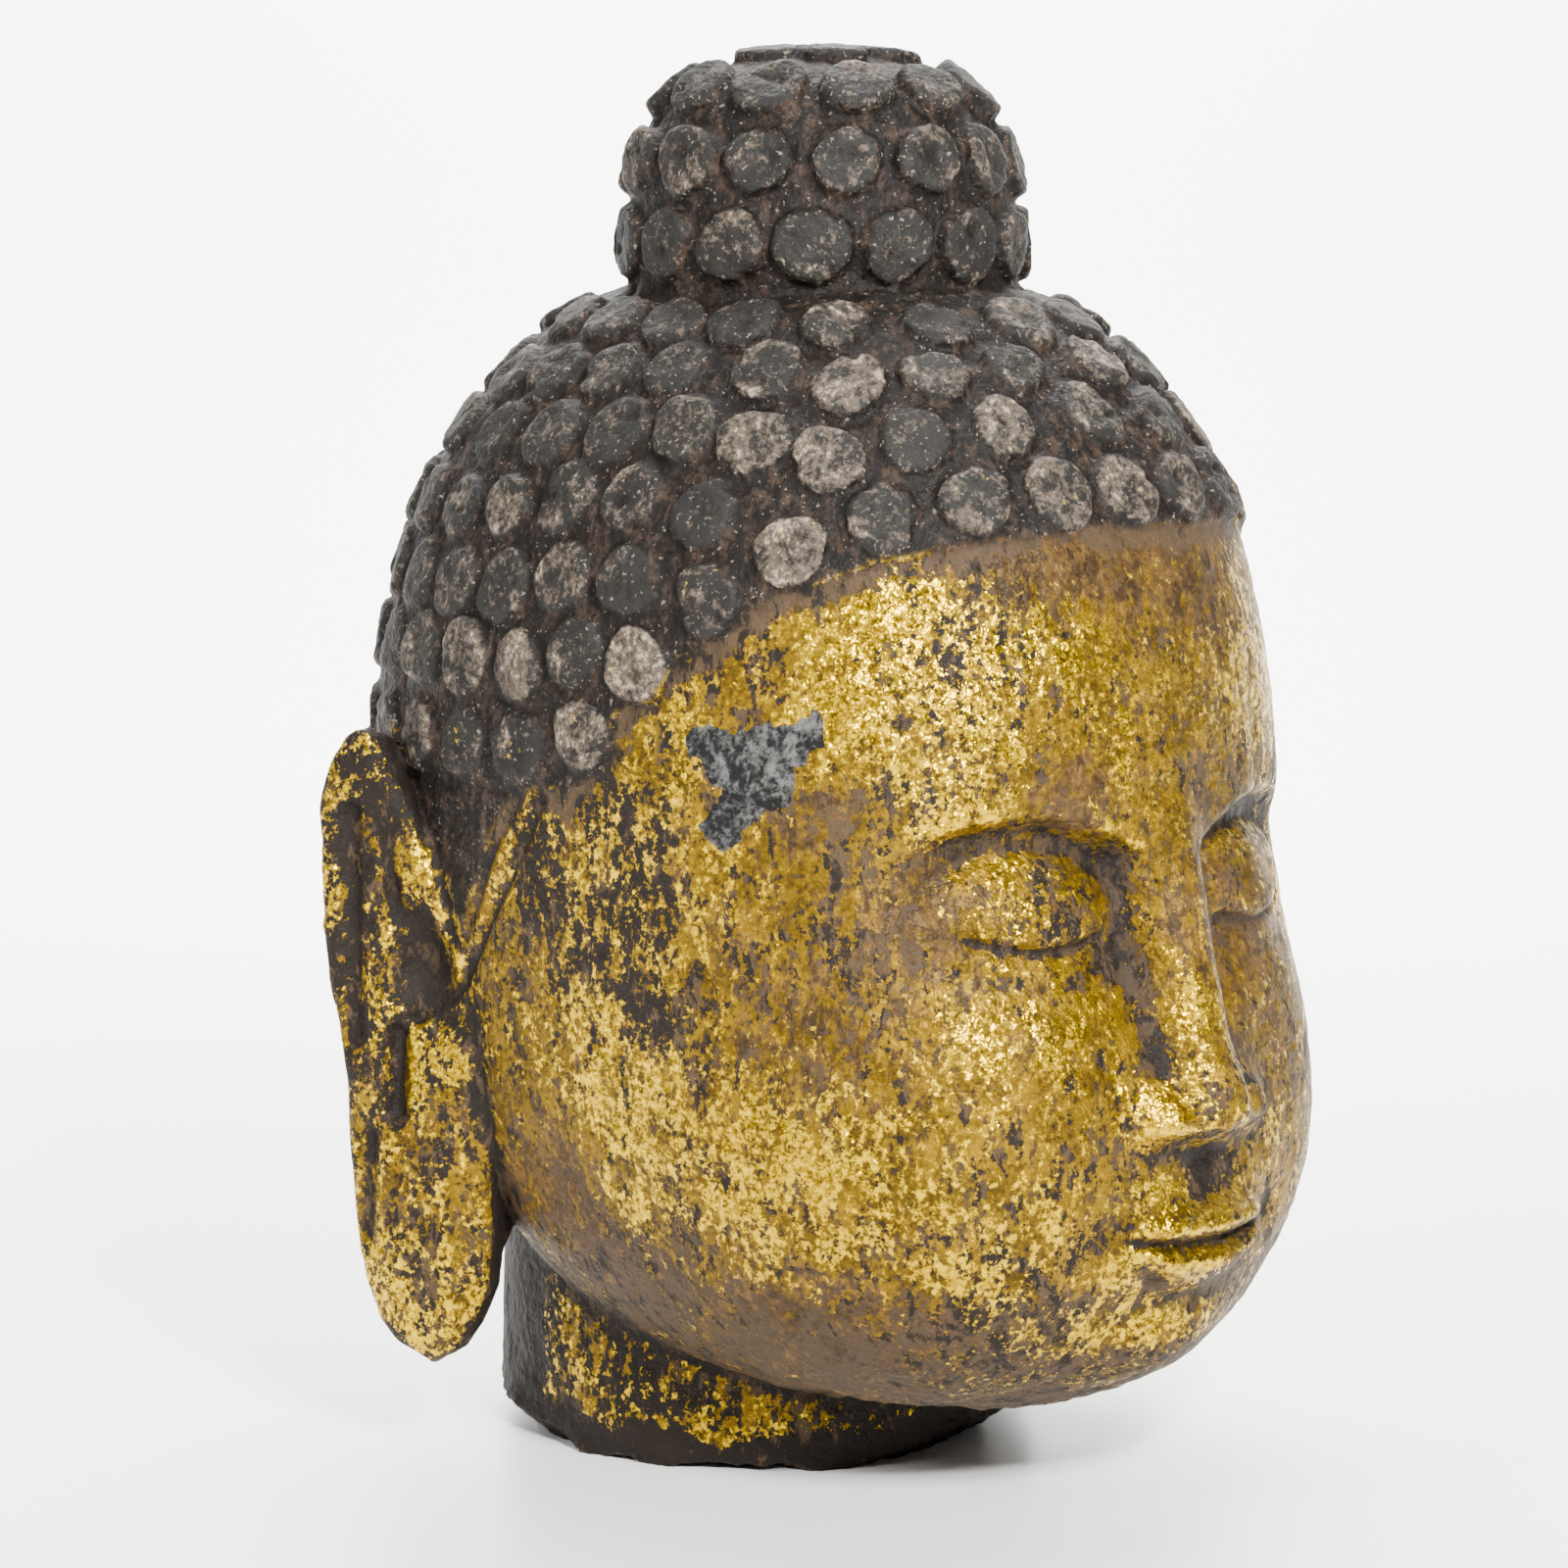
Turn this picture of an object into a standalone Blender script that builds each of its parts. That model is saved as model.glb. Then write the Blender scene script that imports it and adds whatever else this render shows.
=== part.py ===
"""Carved stone head with rows of disc curls, long ears and a neck that is broken off flat enough to stand on.

Metres, +Z up, the face towards -Y. The origin is on the ground under the middle of the head.
Every form is a sphere primitive drawn out to its own rule, and Boolean unions make them one stone.
"""

import math

import bmesh
import bpy
import numpy as np
from mathutils import Matrix, Vector

MM = 0.001

# Driving sizes of the whole head
CHIN_Z = 16 * MM
CROWN_Z = 265 * MM
TOP_Z = 311.5 * MM
HEAD_HALF_WIDTH = 88 * MM
HEAD_HALF_DEPTH = 104 * MM
HEAD_MIDDLE_Y = 8.5 * MM
SKULL_FULLNESS = 2.4
JAW_FULLNESS = 3.2
JAW_FORWARD = 33 * MM
JAW_SHALLOWER = 0.14

# The face is set out in equal thirds from hairline to chin, and is five eyes wide
HAIRLINE_Z = 209 * MM
FACE_THIRD = (HAIRLINE_Z - CHIN_Z) / 3
BROW_Z = HAIRLINE_Z - FACE_THIRD
NOSE_BASE_Z = CHIN_Z + FACE_THIRD
MOUTH_Z = NOSE_BASE_Z - FACE_THIRD / 3
EYE_WIDTH = 2 * HEAD_HALF_WIDTH / 5
EYE_X = EYE_WIDTH
EYE_Z = BROW_Z - FACE_THIRD / 4

# The topknot, which stands on the crown
KNOT_RADIUS = 43.5 * MM
KNOT_BASE_Z = 244 * MM
KNOT_ROUNDING_Z = 256 * MM
KNOT_FULLNESS = 3.2

# The curls are thin discs, in staggered rows
CURL_RADIUS = 8.3 * MM
CURL_PROUD = 3.2 * MM
CURL_ROOT = 4.0 * MM
CURL_SIDES = 6
CURL_PITCH = 19.5 * MM
CURL_ROW_PITCH = 16.4 * MM
CROWDED = 0.5
KNOT_TOP_Z = TOP_Z - CURL_PROUD
KNOT_RING_HEIGHTS = (268 * MM, 286 * MM, 301 * MM)
KNOT_TOP_RING_RISE = 0.9945

# The hairline drops from the forehead to the temples, passes over the ears and falls to the nape
TEMPLE_ANGLE = math.radians(84)
TEMPLE_DROP = 60 * MM
TEMPLE_CURVE = 3.2
EAR_BACK_ANGLE = math.radians(128)
HAIR_OVER_EAR_Z = 154 * MM
NAPE_Z = 72 * MM

# The ears, measured along the ear from its rear edge and up from the ground
# Each row of the outline: height, rear edge, front edge, in mm
EAR_OUTLINE = np.array(
    (
        (21, 26, 26),
        (25, 18, 33),
        (31, 13, 37),
        (40, 10, 40.5),
        (50, 8, 41),
        (66, 7, 41),
        (84, 6, 42),
        (97, 4, 43),
        (107, 2, 40),
        (118, 0.5, 34),
        (131, 0, 29),
        (145, 0, 22),
        (154, 2, 18),
        (160, 6, 14),
        (163, 10, 10),
    )
)
EAR_THICKNESS = 12 * MM
EAR_ROOT = 14 * MM
EAR_FREE_BELOW_Z = 42 * MM
EAR_REAR = Vector((101, 66.5, 0)) * MM
EAR_FRONT = Vector((81, 24.5, 0)) * MM

# The neck, an oval column set behind the chin and snapped off
NECK_HALF_WIDTH = 61 * MM
NECK_HALF_DEPTH = 62 * MM
NECK_MIDDLE_Y = 25.5 * MM
NECK_TOP_Z = 78 * MM
# Each break plane: its direction round the neck and its slope from level in degrees,
# and how high it cuts the neck's side in mm
BREAKS = (
    (-118, 35, 7),
    (-45, 30, 1.5),
    (12, 33, 8.5),
    (55, 30, 10),
    (95, 44, 6),
    (133, 38, 5),
    (180, 48, 4),
    (222, 38, 8),
)

STONE = {"colour": (0.46, 0.35, 0.12, 1.0), "roughness": 0.55, "metallic": 0.35}


def smooth_step(low, high, value):
    """0 below low, 1 above high, and an even S curve between them."""
    share = np.clip((value - low) / (high - low), 0.0, 1.0)
    return share * share * (3.0 - 2.0 * share)


def mound(across, up, half_width, half_height):
    """A soft round hill, 1 at its top, from the distances across and up from its middle."""
    return np.exp(-((across / half_width) ** 2) - (up / half_height) ** 2)


def skull_sections(z):
    """Half width, half depth and middle y of the head's level oval at height z."""
    lift = np.clip((z - (CHIN_Z + CROWN_Z) / 2) / ((CROWN_Z - CHIN_Z) / 2), -1.0, 1.0)
    fullness = SKULL_FULLNESS + (JAW_FULLNESS - SKULL_FULLNESS) * smooth_step(0.1, -0.6, lift)
    span = (1.0 - np.abs(lift) ** fullness) ** (1.0 / fullness)
    below = np.clip(-lift, 0.0, 1.0)
    half_width = HEAD_HALF_WIDTH * span
    half_depth = HEAD_HALF_DEPTH * span * (1.0 - JAW_SHALLOWER * below**1.5)
    middle_y = HEAD_MIDDLE_Y - JAW_FORWARD * below**1.2
    return half_width, half_depth, middle_y


def skull_point(azimuth, z):
    """Points of the plain head at angles round from the front, towards +X, and at heights z."""
    half_width, half_depth, middle_y = skull_sections(z)
    squareness = 2.3 + 0.25 * smooth_step(EYE_Z, MOUTH_Z, z)
    reach = (
        np.abs(np.sin(azimuth) / np.maximum(half_width, 1e-6)) ** squareness
        + np.abs(np.cos(azimuth) / np.maximum(half_depth, 1e-6)) ** squareness
    ) ** (-1.0 / squareness)
    return np.stack([reach * np.sin(azimuth), middle_y - reach * np.cos(azimuth), z + 0 * azimuth], axis=-1)


def brow_line(side):
    """Height of the brow's edge at a distance to the side: an arch over each eye."""
    along = np.clip((side - 8 * MM) / (60 * MM), 0.0, 1.0)
    return BROW_Z - 2 * MM + 9 * MM * np.sin(math.pi * along)


def eye_relief(side, z):
    """Socket under the brow's edge, rounded lid, and the lowered lid's edge over the narrow eye."""
    under_brow = brow_line(side) - z
    socket = smooth_step(-1 * MM, 7 * MM, under_brow) * (1 - smooth_step(18 * MM, 46 * MM, under_brow))
    socket = socket * smooth_step(6 * MM, 16 * MM, side) * (1 - smooth_step(42 * MM, 68 * MM, side))
    across = (side - EYE_X) / (0.66 * EYE_WIDTH)
    up = (z - EYE_Z - 1 * MM) / (15 * MM)
    lid = np.clip(1 - across**2 - up**2, 0.0, 1.0) ** 0.75
    along = np.clip((side - EYE_X + EYE_WIDTH / 2) / EYE_WIDTH, 0.0, 1.0)
    lid_edge = EYE_Z - 2 * MM - 3.5 * MM * np.sin(math.pi * along) + 2 * MM * along
    within = smooth_step(-2 * MM, 5 * MM, EYE_WIDTH / 2 - np.abs(side - EYE_X))
    slit = mound(0 * side, z - lid_edge + 1.8 * MM, 1.0, 2.2 * MM) * within
    return -7.5 * MM * socket + 7 * MM * lid - 2.4 * MM * slit


def nose_relief(side, z):
    """Straight bridge that widens and rises to a round tip, with a wing on each side."""
    down = np.clip((BROW_Z + 2 * MM - z) / (BROW_Z - NOSE_BASE_Z), 0.0, 1.0)
    height = 3.5 * MM + 8 * MM * down**1.2
    half_width = 12 * MM + 5 * MM * down**2
    bridge = height * (1 - smooth_step(0.12, 1.05, side / half_width))
    bridge = bridge * (1 - smooth_step(BROW_Z - 8 * MM, BROW_Z + 26 * MM, z))
    tip = 4 * MM * mound(side, z - NOSE_BASE_Z - 10 * MM, 9 * MM, 8 * MM)
    wing = 9 * MM * mound(side - 13.5 * MM, z - NOSE_BASE_Z - 6.5 * MM, 7 * MM, 8 * MM)
    underside = smooth_step(NOSE_BASE_Z - 4 * MM, NOSE_BASE_Z + 6 * MM, z)
    return np.sqrt((bridge + tip) ** 2 + wing**2) * underside


def mouth_relief(side, z):
    """Soft muzzle, two full lips that part along a line rising to the corners, and a round chin."""
    half_mouth = 0.68 * EYE_WIDTH
    outward = np.clip(side / half_mouth, 0.0, 1.0)
    parting = MOUTH_Z + 3 * MM * outward**2
    taper = 1 - smooth_step(0.55, 1.08, side / half_mouth)
    upper = np.clip((z - parting) / (10 * MM * (1.05 - outward**2)), 0.0, 1.0)
    lower = np.clip((parting - z) / (11 * MM * (1.05 - outward**2)), 0.0, 1.0)
    lips = 3.2 * MM * np.sin(math.pi * upper**0.7) + 3.8 * MM * np.sin(math.pi * lower**0.8)
    groove = 1.4 * MM * mound(0 * side, z - parting, 1.0, 1.8 * MM)
    muzzle = 6.5 * MM * mound(side, z - MOUTH_Z - 1 * MM, 34 * MM, 20 * MM)
    corner = 2 * MM * mound(side - half_mouth - 2 * MM, z - parting, 5 * MM, 5 * MM)
    philtrum = 1.4 * MM * mound(side, z - MOUTH_Z - 15 * MM, 3.6 * MM, 6 * MM)
    chin = 9 * MM * mound(side, z - CHIN_Z - 16 * MM, 21 * MM, 14 * MM)
    under_lip = 3 * MM * mound(side, z - MOUTH_Z + 14 * MM, 20 * MM, 5 * MM)
    return (lips - groove) * taper + muzzle + chin - corner - philtrum - under_lip


def face_relief(x, z):
    """How far the face stands forward of the plain head. It is the same on both sides."""
    side = np.abs(x)
    cheek = 3.5 * MM * mound(side - 50 * MM, z - NOSE_BASE_Z - 10 * MM, 22 * MM, 28 * MM)
    return eye_relief(side, z) + nose_relief(side, z) + mouth_relief(side, z) + cheek


def head_point(azimuth, z):
    """Points of the head with its face."""
    points = skull_point(azimuth, z)
    facing = smooth_step(0.15, 0.55, np.cos(azimuth))
    points[..., 1] -= face_relief(points[..., 0], points[..., 2]) * facing
    return points


def knot_point(azimuth, rise):
    """Points of the topknot: a round block with a domed top. rise runs from 0 at its foot to 1 at its top."""
    z = KNOT_BASE_Z + (KNOT_TOP_Z - KNOT_BASE_Z) * rise
    over = np.clip((z - KNOT_ROUNDING_Z) / (KNOT_TOP_Z - KNOT_ROUNDING_Z), 0.0, 1.0)
    radius = KNOT_RADIUS * (1 - over**KNOT_FULLNESS) ** (1 / KNOT_FULLNESS)
    radius = radius * (rise > 0)
    x = radius * np.sin(azimuth)
    y = HEAD_MIDDLE_Y - radius * np.cos(azimuth)
    return np.stack([x, y, z + 0 * azimuth], axis=-1)


def hair_edge_z(azimuth):
    """Height of the hair's lower edge at an angle round from the front."""
    turn = abs(math.remainder(azimuth, 2 * math.pi))
    if turn < TEMPLE_ANGLE:
        return HAIRLINE_Z - TEMPLE_DROP * (turn / TEMPLE_ANGLE) ** TEMPLE_CURVE
    if turn < EAR_BACK_ANGLE:
        return HAIR_OVER_EAR_Z
    return NAPE_Z


def ear_outline(z):
    """Rear and front edge of the ear at height z, as distances from the ear's rear line."""
    heights, rear, front = EAR_OUTLINE.T * MM
    return np.interp(z, heights, rear), np.interp(z, heights, front)


def groove(along, z, start, end, half_width):
    """1 in the middle of a straight groove between two points of the ear, fading out across half_width."""
    run = (end[0] - start[0]) * MM, (end[1] - start[1]) * MM
    projected = (along - start[0] * MM) * run[0] + (z - start[1] * MM) * run[1]
    share = np.clip(projected / (run[0] ** 2 + run[1] ** 2), 0.0, 1.0)
    across = along - start[0] * MM - share * run[0]
    up = z - start[1] * MM - share * run[1]
    return mound(across, up, half_width, half_width)


def ear_relief(along, z):
    """Raised rim and forked fold round the hollow shell, the slot under it, and the lobe's groove and pad."""
    rear, front = ear_outline(z)
    upper = smooth_step(78 * MM, 98 * MM, z)
    rim_groove = groove(along, z, (9, 94), (8, 144), 3.5 * MM)
    fork = groove(along, z, (19, 122), (16, 140), 4 * MM)
    shell = mound(along - 25 * MM, z - 110 * MM, 8 * MM, 13 * MM)
    slot = groove(along, z, (19, 78), (19, 95), 3 * MM)
    lobe_groove = groove(along, z, (11, 50), (13, 72), 3 * MM)
    lobe = mound(along - 27 * MM, z - 40 * MM, 12 * MM, 15 * MM)
    front_rim = mound(along - front + 3 * MM, z - 116 * MM, 3.5 * MM, 16 * MM)
    hollows = 3.5 * rim_groove * upper + 2.5 * fork + 7.5 * shell + 4.5 * slot + 2.2 * lobe_groove
    return (2.5 * lobe + 2.5 * front_rim - hollows) * MM


def clear_scene():
    for thing in list(bpy.data.objects):
        bpy.data.objects.remove(thing)


def new_collection(name, helper=False):
    collection = bpy.data.collections.new(name)
    collection.hide_render = helper
    bpy.context.scene.collection.children.link(collection)
    return collection


def drawn_sphere(name, columns, rows, place, collection):
    """A sphere primitive whose vertices go where place(azimuths, rows) puts them, rows from 0 to 1."""
    shape = bmesh.new()
    bmesh.ops.create_uvsphere(shape, u_segments=columns, v_segments=rows, radius=1.0)
    shape.verts.ensure_lookup_table()
    start = np.array([vertex.co for vertex in shape.verts])
    azimuth = np.arctan2(start[:, 0], -start[:, 1])
    row = np.round((np.arcsin(np.clip(start[:, 2], -1, 1)) / math.pi + 0.5) * rows) / rows
    for vertex, point in zip(shape.verts, place(azimuth, row)):
        vertex.co = point
    bmesh.ops.recalc_face_normals(shape, faces=shape.faces)
    return finished(name, shape, collection)


def finished(name, shape, collection):
    """The bmesh as an object, shaded smooth up to its creases."""
    mesh = bpy.data.meshes.new(name)
    shape.to_mesh(mesh)
    shape.free()
    mesh.shade_smooth()
    mesh.set_sharp_from_angle(angle=math.radians(35))
    thing = bpy.data.objects.new(name, mesh)
    collection.objects.link(thing)
    return thing


def face_row_heights(rows):
    """Heights of the head's rings, closest together at the eyes, the nose's base and the mouth."""
    z = np.linspace(CHIN_Z, CROWN_Z, 2001)
    lift = (z - (CHIN_Z + CROWN_Z) / 2) / ((CROWN_Z - CHIN_Z) / 2)
    density = 0.55 + 0.5 * np.abs(lift) ** 8
    crowded_bands = ((EYE_Z - 2 * MM, 9 * MM, 1.5), (NOSE_BASE_Z, 7 * MM, 1.1), (MOUTH_Z, 9 * MM, 1.5))
    for middle, half_height, weight in crowded_bands:
        density = density + weight * mound(0 * z, z - middle, 1.0, half_height)
    passed = np.concatenate([[0.0], np.cumsum((density[1:] + density[:-1]) / 2)])
    return np.interp(np.linspace(0, passed[-1], rows + 1), passed, z)


def make_head(collection):
    """The head, whose columns crowd towards the face."""
    rows = 84
    heights = face_row_heights(rows)
    crowding = 0.6

    def place(azimuth, row):
        z = heights[np.round(row * rows).astype(int)]
        return head_point(azimuth - crowding * np.sin(azimuth), z)

    head = drawn_sphere("buddha_head", 120, rows, place, collection)
    features = head.vertex_groups.new(name="features")
    for vertex in head.data.vertices:
        shown = facial_zone(vertex.co)
        if shown > 0:
            features.add([vertex.index], shown, "REPLACE")
    thin_out(head, 0.12)
    thin_out(head, 0.55, "features")
    return head


def facial_zone(point):
    """1 on the eyes, nose and mouth, fading to 0 round them."""
    inside = smooth_step(72 * MM, 58 * MM, abs(point.x)) * smooth_step(24 * MM, 38 * MM, point.z)
    return float(inside * smooth_step(166 * MM, 154 * MM, point.z)) if point.y < 0 else 0.0


def thin_out(thing, share, kept=""):
    """Leaves a share of the triangles, the fewest where the form is flattest and outside the kept group."""
    thinned = thing.modifiers.new("fewer facets", "DECIMATE")
    thinned.ratio = share
    thinned.vertex_group = kept
    thinned.invert_vertex_group = True


def make_knot(collection):
    return drawn_sphere("topknot", 20, 9, knot_point, collection)


def make_ear(side, collection):
    """One ear, side 1 or -1: a flat pillow inside its outline.

    Its outer face carries the relief, and its inner face carries the root that joins it to the head.
    """
    along_way = (EAR_FRONT - EAR_REAR).normalized()
    outward = Vector((-along_way.y, along_way.x, 0)).normalized()
    outward = outward if outward.x > 0 else -outward

    def place(azimuth, row):
        bottom, top = EAR_OUTLINE[0, 0] * MM, EAR_OUTLINE[-1, 0] * MM
        z = bottom + (top - bottom) * (0.35 * (0.5 - 0.5 * np.cos(math.pi * row)) + 0.65 * row)
        rear, front = ear_outline(z)
        across = np.sin(azimuth)
        along = (rear + front) / 2 + (front - rear) / 2 * np.sign(across) * np.abs(across) ** 0.8
        thickness = EAR_THICKNESS / 2 * np.sign(np.cos(azimuth)) * np.abs(np.cos(azimuth)) ** 0.5
        thickness = thickness * np.clip(np.sin(math.pi * row), 0, 1) ** 0.3
        outer = smooth_step(0.0, 0.3, np.cos(azimuth))
        inner = smooth_step(0.0, 0.3, -np.cos(azimuth))
        root = EAR_ROOT * smooth_step(0, 20 * MM, along - rear)
        root = root * smooth_step(EAR_FREE_BELOW_Z, EAR_FREE_BELOW_Z + 18 * MM, z)
        depth = thickness + ear_relief(along, z) * outer - root * inner - EAR_THICKNESS / 2
        points = np.array(EAR_REAR) + np.outer(along, along_way) + np.outer(depth, outward)
        points[:, 2] = z
        points[:, 0] *= side
        return points

    ear = drawn_sphere("ear_left" if side > 0 else "ear_right", 32, 40, place, collection)
    thin_out(ear, 0.14)
    return ear


def make_break_cutter(number, turn, slope, height, collection):
    """A large cube whose top face is one break plane. It takes away what lies under that plane."""
    size = 160 * MM
    around = Matrix.Rotation(math.radians(turn), 4, "Z")
    rim = Vector((0, -NECK_HALF_DEPTH, height * MM))
    place = Matrix.Translation((0, NECK_MIDDLE_Y, 0)) @ around @ Matrix.Translation(rim)
    tilt = Matrix.Rotation(-math.radians(slope), 4, "X")
    shape = bmesh.new()
    bmesh.ops.create_cube(shape, size=size, matrix=place @ tilt @ Matrix.Translation((0, 0, -size / 2)))
    return finished(f"break_{number:02d}", shape, collection)


def make_neck(collection, cutters):
    """The neck, cut to facets round its foot by the break planes and flat underneath."""
    shape = bmesh.new()
    bmesh.ops.create_cone(shape, cap_ends=True, segments=36, radius1=1.0, radius2=0.97, depth=NECK_TOP_Z)
    bmesh.ops.transform(
        shape,
        verts=shape.verts,
        matrix=Matrix.Translation((0, NECK_MIDDLE_Y, NECK_TOP_Z / 2))
        @ Matrix.Diagonal((NECK_HALF_WIDTH, NECK_HALF_DEPTH, 1.0, 1.0)),
    )
    neck = finished("neck", shape, collection)
    for number, (turn, slope, height) in enumerate(BREAKS):
        make_break_cutter(number, turn, slope, height, cutters)
    cut = neck.modifiers.new("break off the foot", "BOOLEAN")
    cut.operation = "DIFFERENCE"
    cut.operand_type = "COLLECTION"
    cut.collection = cutters
    cut.use_self = True
    return neck


def surface_frame(surface, azimuth, z):
    """The point of a surface at an angle and a height, and its outward normal, from small steps along it."""
    step = 1e-4
    here = surface(np.array(azimuth), np.array(z))
    beside = surface(np.array(azimuth + step), np.array(z))
    above = surface(np.array(azimuth), np.array(z + step))
    normal = np.cross(beside - here, above - here)
    return Vector(here), Vector(normal).normalized()


def scalp_arc():
    """Distances down the side of the head from the crown, and the heights there, for spacing the rows."""
    z = np.linspace(CROWN_Z, NAPE_Z, 400)
    points = skull_point(np.full_like(z, math.pi / 2), z)
    steps = np.linalg.norm(np.diff(points, axis=0), axis=1)
    return np.concatenate([[0.0], np.cumsum(steps)]), z


def ring_angles(circumference, shift, pitch=CURL_PITCH):
    """Angles of evenly spaced curls round a ring, turned by a share of their spacing."""
    count = max(3, round(circumference / pitch))
    return [2 * math.pi * (i + shift) / count for i in range(count)]


def hairline_curls():
    """The lowest row of curls, which follows the hairline from temple to temple."""
    curls, azimuth = [], 0.0
    while azimuth < TEMPLE_ANGLE:
        z = hair_edge_z(azimuth) + CURL_RADIUS * 0.95
        point = skull_point(np.array(azimuth), np.array(z))
        ahead = azimuth + 0.01
        onward = skull_point(np.array(ahead), np.array(hair_edge_z(ahead) + CURL_RADIUS * 0.95))
        curls.append((azimuth, z))
        if azimuth > 0:
            curls.append((-azimuth, z))
        azimuth += 0.01 * CURL_PITCH / float(np.linalg.norm(onward - point))
    return curls


def scalp_curls():
    """Angles and heights of the head's curls: the hairline row, then rings down from the topknot."""
    arc, heights = scalp_arc()
    reaches = np.arange(KNOT_RADIUS + CURL_RADIUS + 1 * MM, arc[-1], CURL_ROW_PITCH)
    rings = []
    for row, z in enumerate(np.interp(reaches, arc, heights)):
        half_width, half_depth, _ = skull_sections(z)
        circumference = math.pi * float(half_width + half_depth)
        rings.append([(azimuth, z) for azimuth in ring_angles(circumference, row % 2 / 2)])
    fixed = hairline_curls() + rings[0]
    placed = skull_point(*np.array(fixed).T)
    loose = []
    for azimuth, z in sum(rings[1:], []):
        nearest = np.linalg.norm(placed - skull_point(azimuth, z), axis=1).min()
        if z > hair_edge_z(azimuth) + 0.9 * CURL_RADIUS and nearest > CROWDED * CURL_PITCH:
            loose.append((azimuth, z))
    return fixed + spread(np.array(loose), placed)


def spread(loose, fixed, rounds=60):
    """Moves loose curls a little apart, round after round, where they stand closer than the pitch."""
    for _ in range(rounds):
        points = skull_point(loose[:, 0], loose[:, 1])
        others = np.concatenate([points, fixed])
        away = points[:, None, :] - others[None, :, :]
        distance = np.linalg.norm(away, axis=2) + np.eye(len(points), len(others))
        push = np.clip(CURL_PITCH * 0.97 - distance, 0, None) / distance
        move = (away * push[:, :, None]).sum(axis=1) * 0.2
        middle_y = skull_sections(loose[:, 1])[2]
        moved = points + move
        loose[:, 0] = np.arctan2(moved[:, 0], -(moved[:, 1] - middle_y))
        loose[:, 1] = np.clip(moved[:, 2], NAPE_Z, CROWN_Z - 6 * MM)
        lowest = np.array([hair_edge_z(a) for a in loose[:, 0]]) + 0.9 * CURL_RADIUS
        loose[:, 1] = np.maximum(loose[:, 1], lowest)
    return [tuple(curl) for curl in loose]


def knot_curls():
    """Rings of curls up the topknot, and a ring and one middle curl on its top."""
    curls = []
    for row, z in enumerate(KNOT_RING_HEIGHTS):
        rise = (z - KNOT_BASE_Z) / (KNOT_TOP_Z - KNOT_BASE_Z)
        point, _ = surface_frame(knot_point, 0.0, rise)
        circumference = 2 * math.pi * (HEAD_MIDDLE_Y - point.y)
        angles = ring_angles(circumference, row % 2 / 2, 0.95 * CURL_PITCH)
        curls += [(azimuth, rise) for azimuth in angles]
    curls += [(azimuth, KNOT_TOP_RING_RISE) for azimuth in ring_angles(5 * CURL_PITCH, 0.5)]
    return curls


def make_curl(shape, place, normal, turn):
    """Adds one disc to the mesh: a short six-sided block, a little narrower at its face."""
    depth = CURL_PROUD + CURL_ROOT
    middle = Matrix.Translation(place + normal * (CURL_PROUD - depth / 2))
    upright = normal.to_track_quat("Z", "Y").to_matrix().to_4x4()
    bmesh.ops.create_cone(
        shape,
        cap_ends=True,
        segments=CURL_SIDES,
        radius1=CURL_RADIUS * 1.04,
        radius2=CURL_RADIUS * 0.97,
        depth=depth,
        matrix=middle @ upright @ Matrix.Rotation(turn, 4, "Z"),
    )


def make_curls(collection):
    """Every curl of the scalp and of the topknot, as one mesh of separate discs."""
    shape = bmesh.new()
    frames = [surface_frame(skull_point, azimuth, z) for azimuth, z in scalp_curls()]
    frames += [surface_frame(knot_point, azimuth, rise) for azimuth, rise in knot_curls()]
    frames.append((Vector((0, HEAD_MIDDLE_Y, KNOT_TOP_Z)), Vector((0, 0, 1))))
    golden_turn = math.radians(137.5)
    for number, (place, normal) in enumerate(frames):
        make_curl(shape, place, normal, number * golden_turn)
    return finished("curls", shape, collection)


def stone_material():
    material = bpy.data.materials.new("lacquered and gilt stone")
    material.use_nodes = True
    shader = material.node_tree.nodes["Principled BSDF"]
    shader.inputs["Base Color"].default_value = STONE["colour"]
    shader.inputs["Roughness"].default_value = STONE["roughness"]
    shader.inputs["Metallic"].default_value = STONE["metallic"]
    return material


def main():
    clear_scene()
    whole = new_collection("gilt buddha head")
    joined = new_collection("forms joined to the head", helper=True)
    cutters = new_collection("cutters", helper=True)
    head = make_head(whole)
    head.data.materials.append(stone_material())
    make_knot(joined)
    make_ear(1, joined)
    make_ear(-1, joined)
    make_neck(joined, cutters)
    make_curls(joined)
    for helper in [*joined.objects, *cutters.objects]:
        helper.hide_render = True
        helper.display_type = "WIRE"
    join = head.modifiers.new("one stone", "BOOLEAN")
    join.operation = "UNION"
    join.operand_type = "COLLECTION"
    join.collection = joined
    join.use_self = True


main()
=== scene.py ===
"""Gilt buddha head on a pale studio floor: one carved stone under dark lacquer, with worn gold leaf.

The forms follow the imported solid's own rules on finer grids. They are closed surfaces, fused by a voxel
remesh into one stone, then roughened, thinned and painted with attributes that the material reads.
"""

import math

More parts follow.
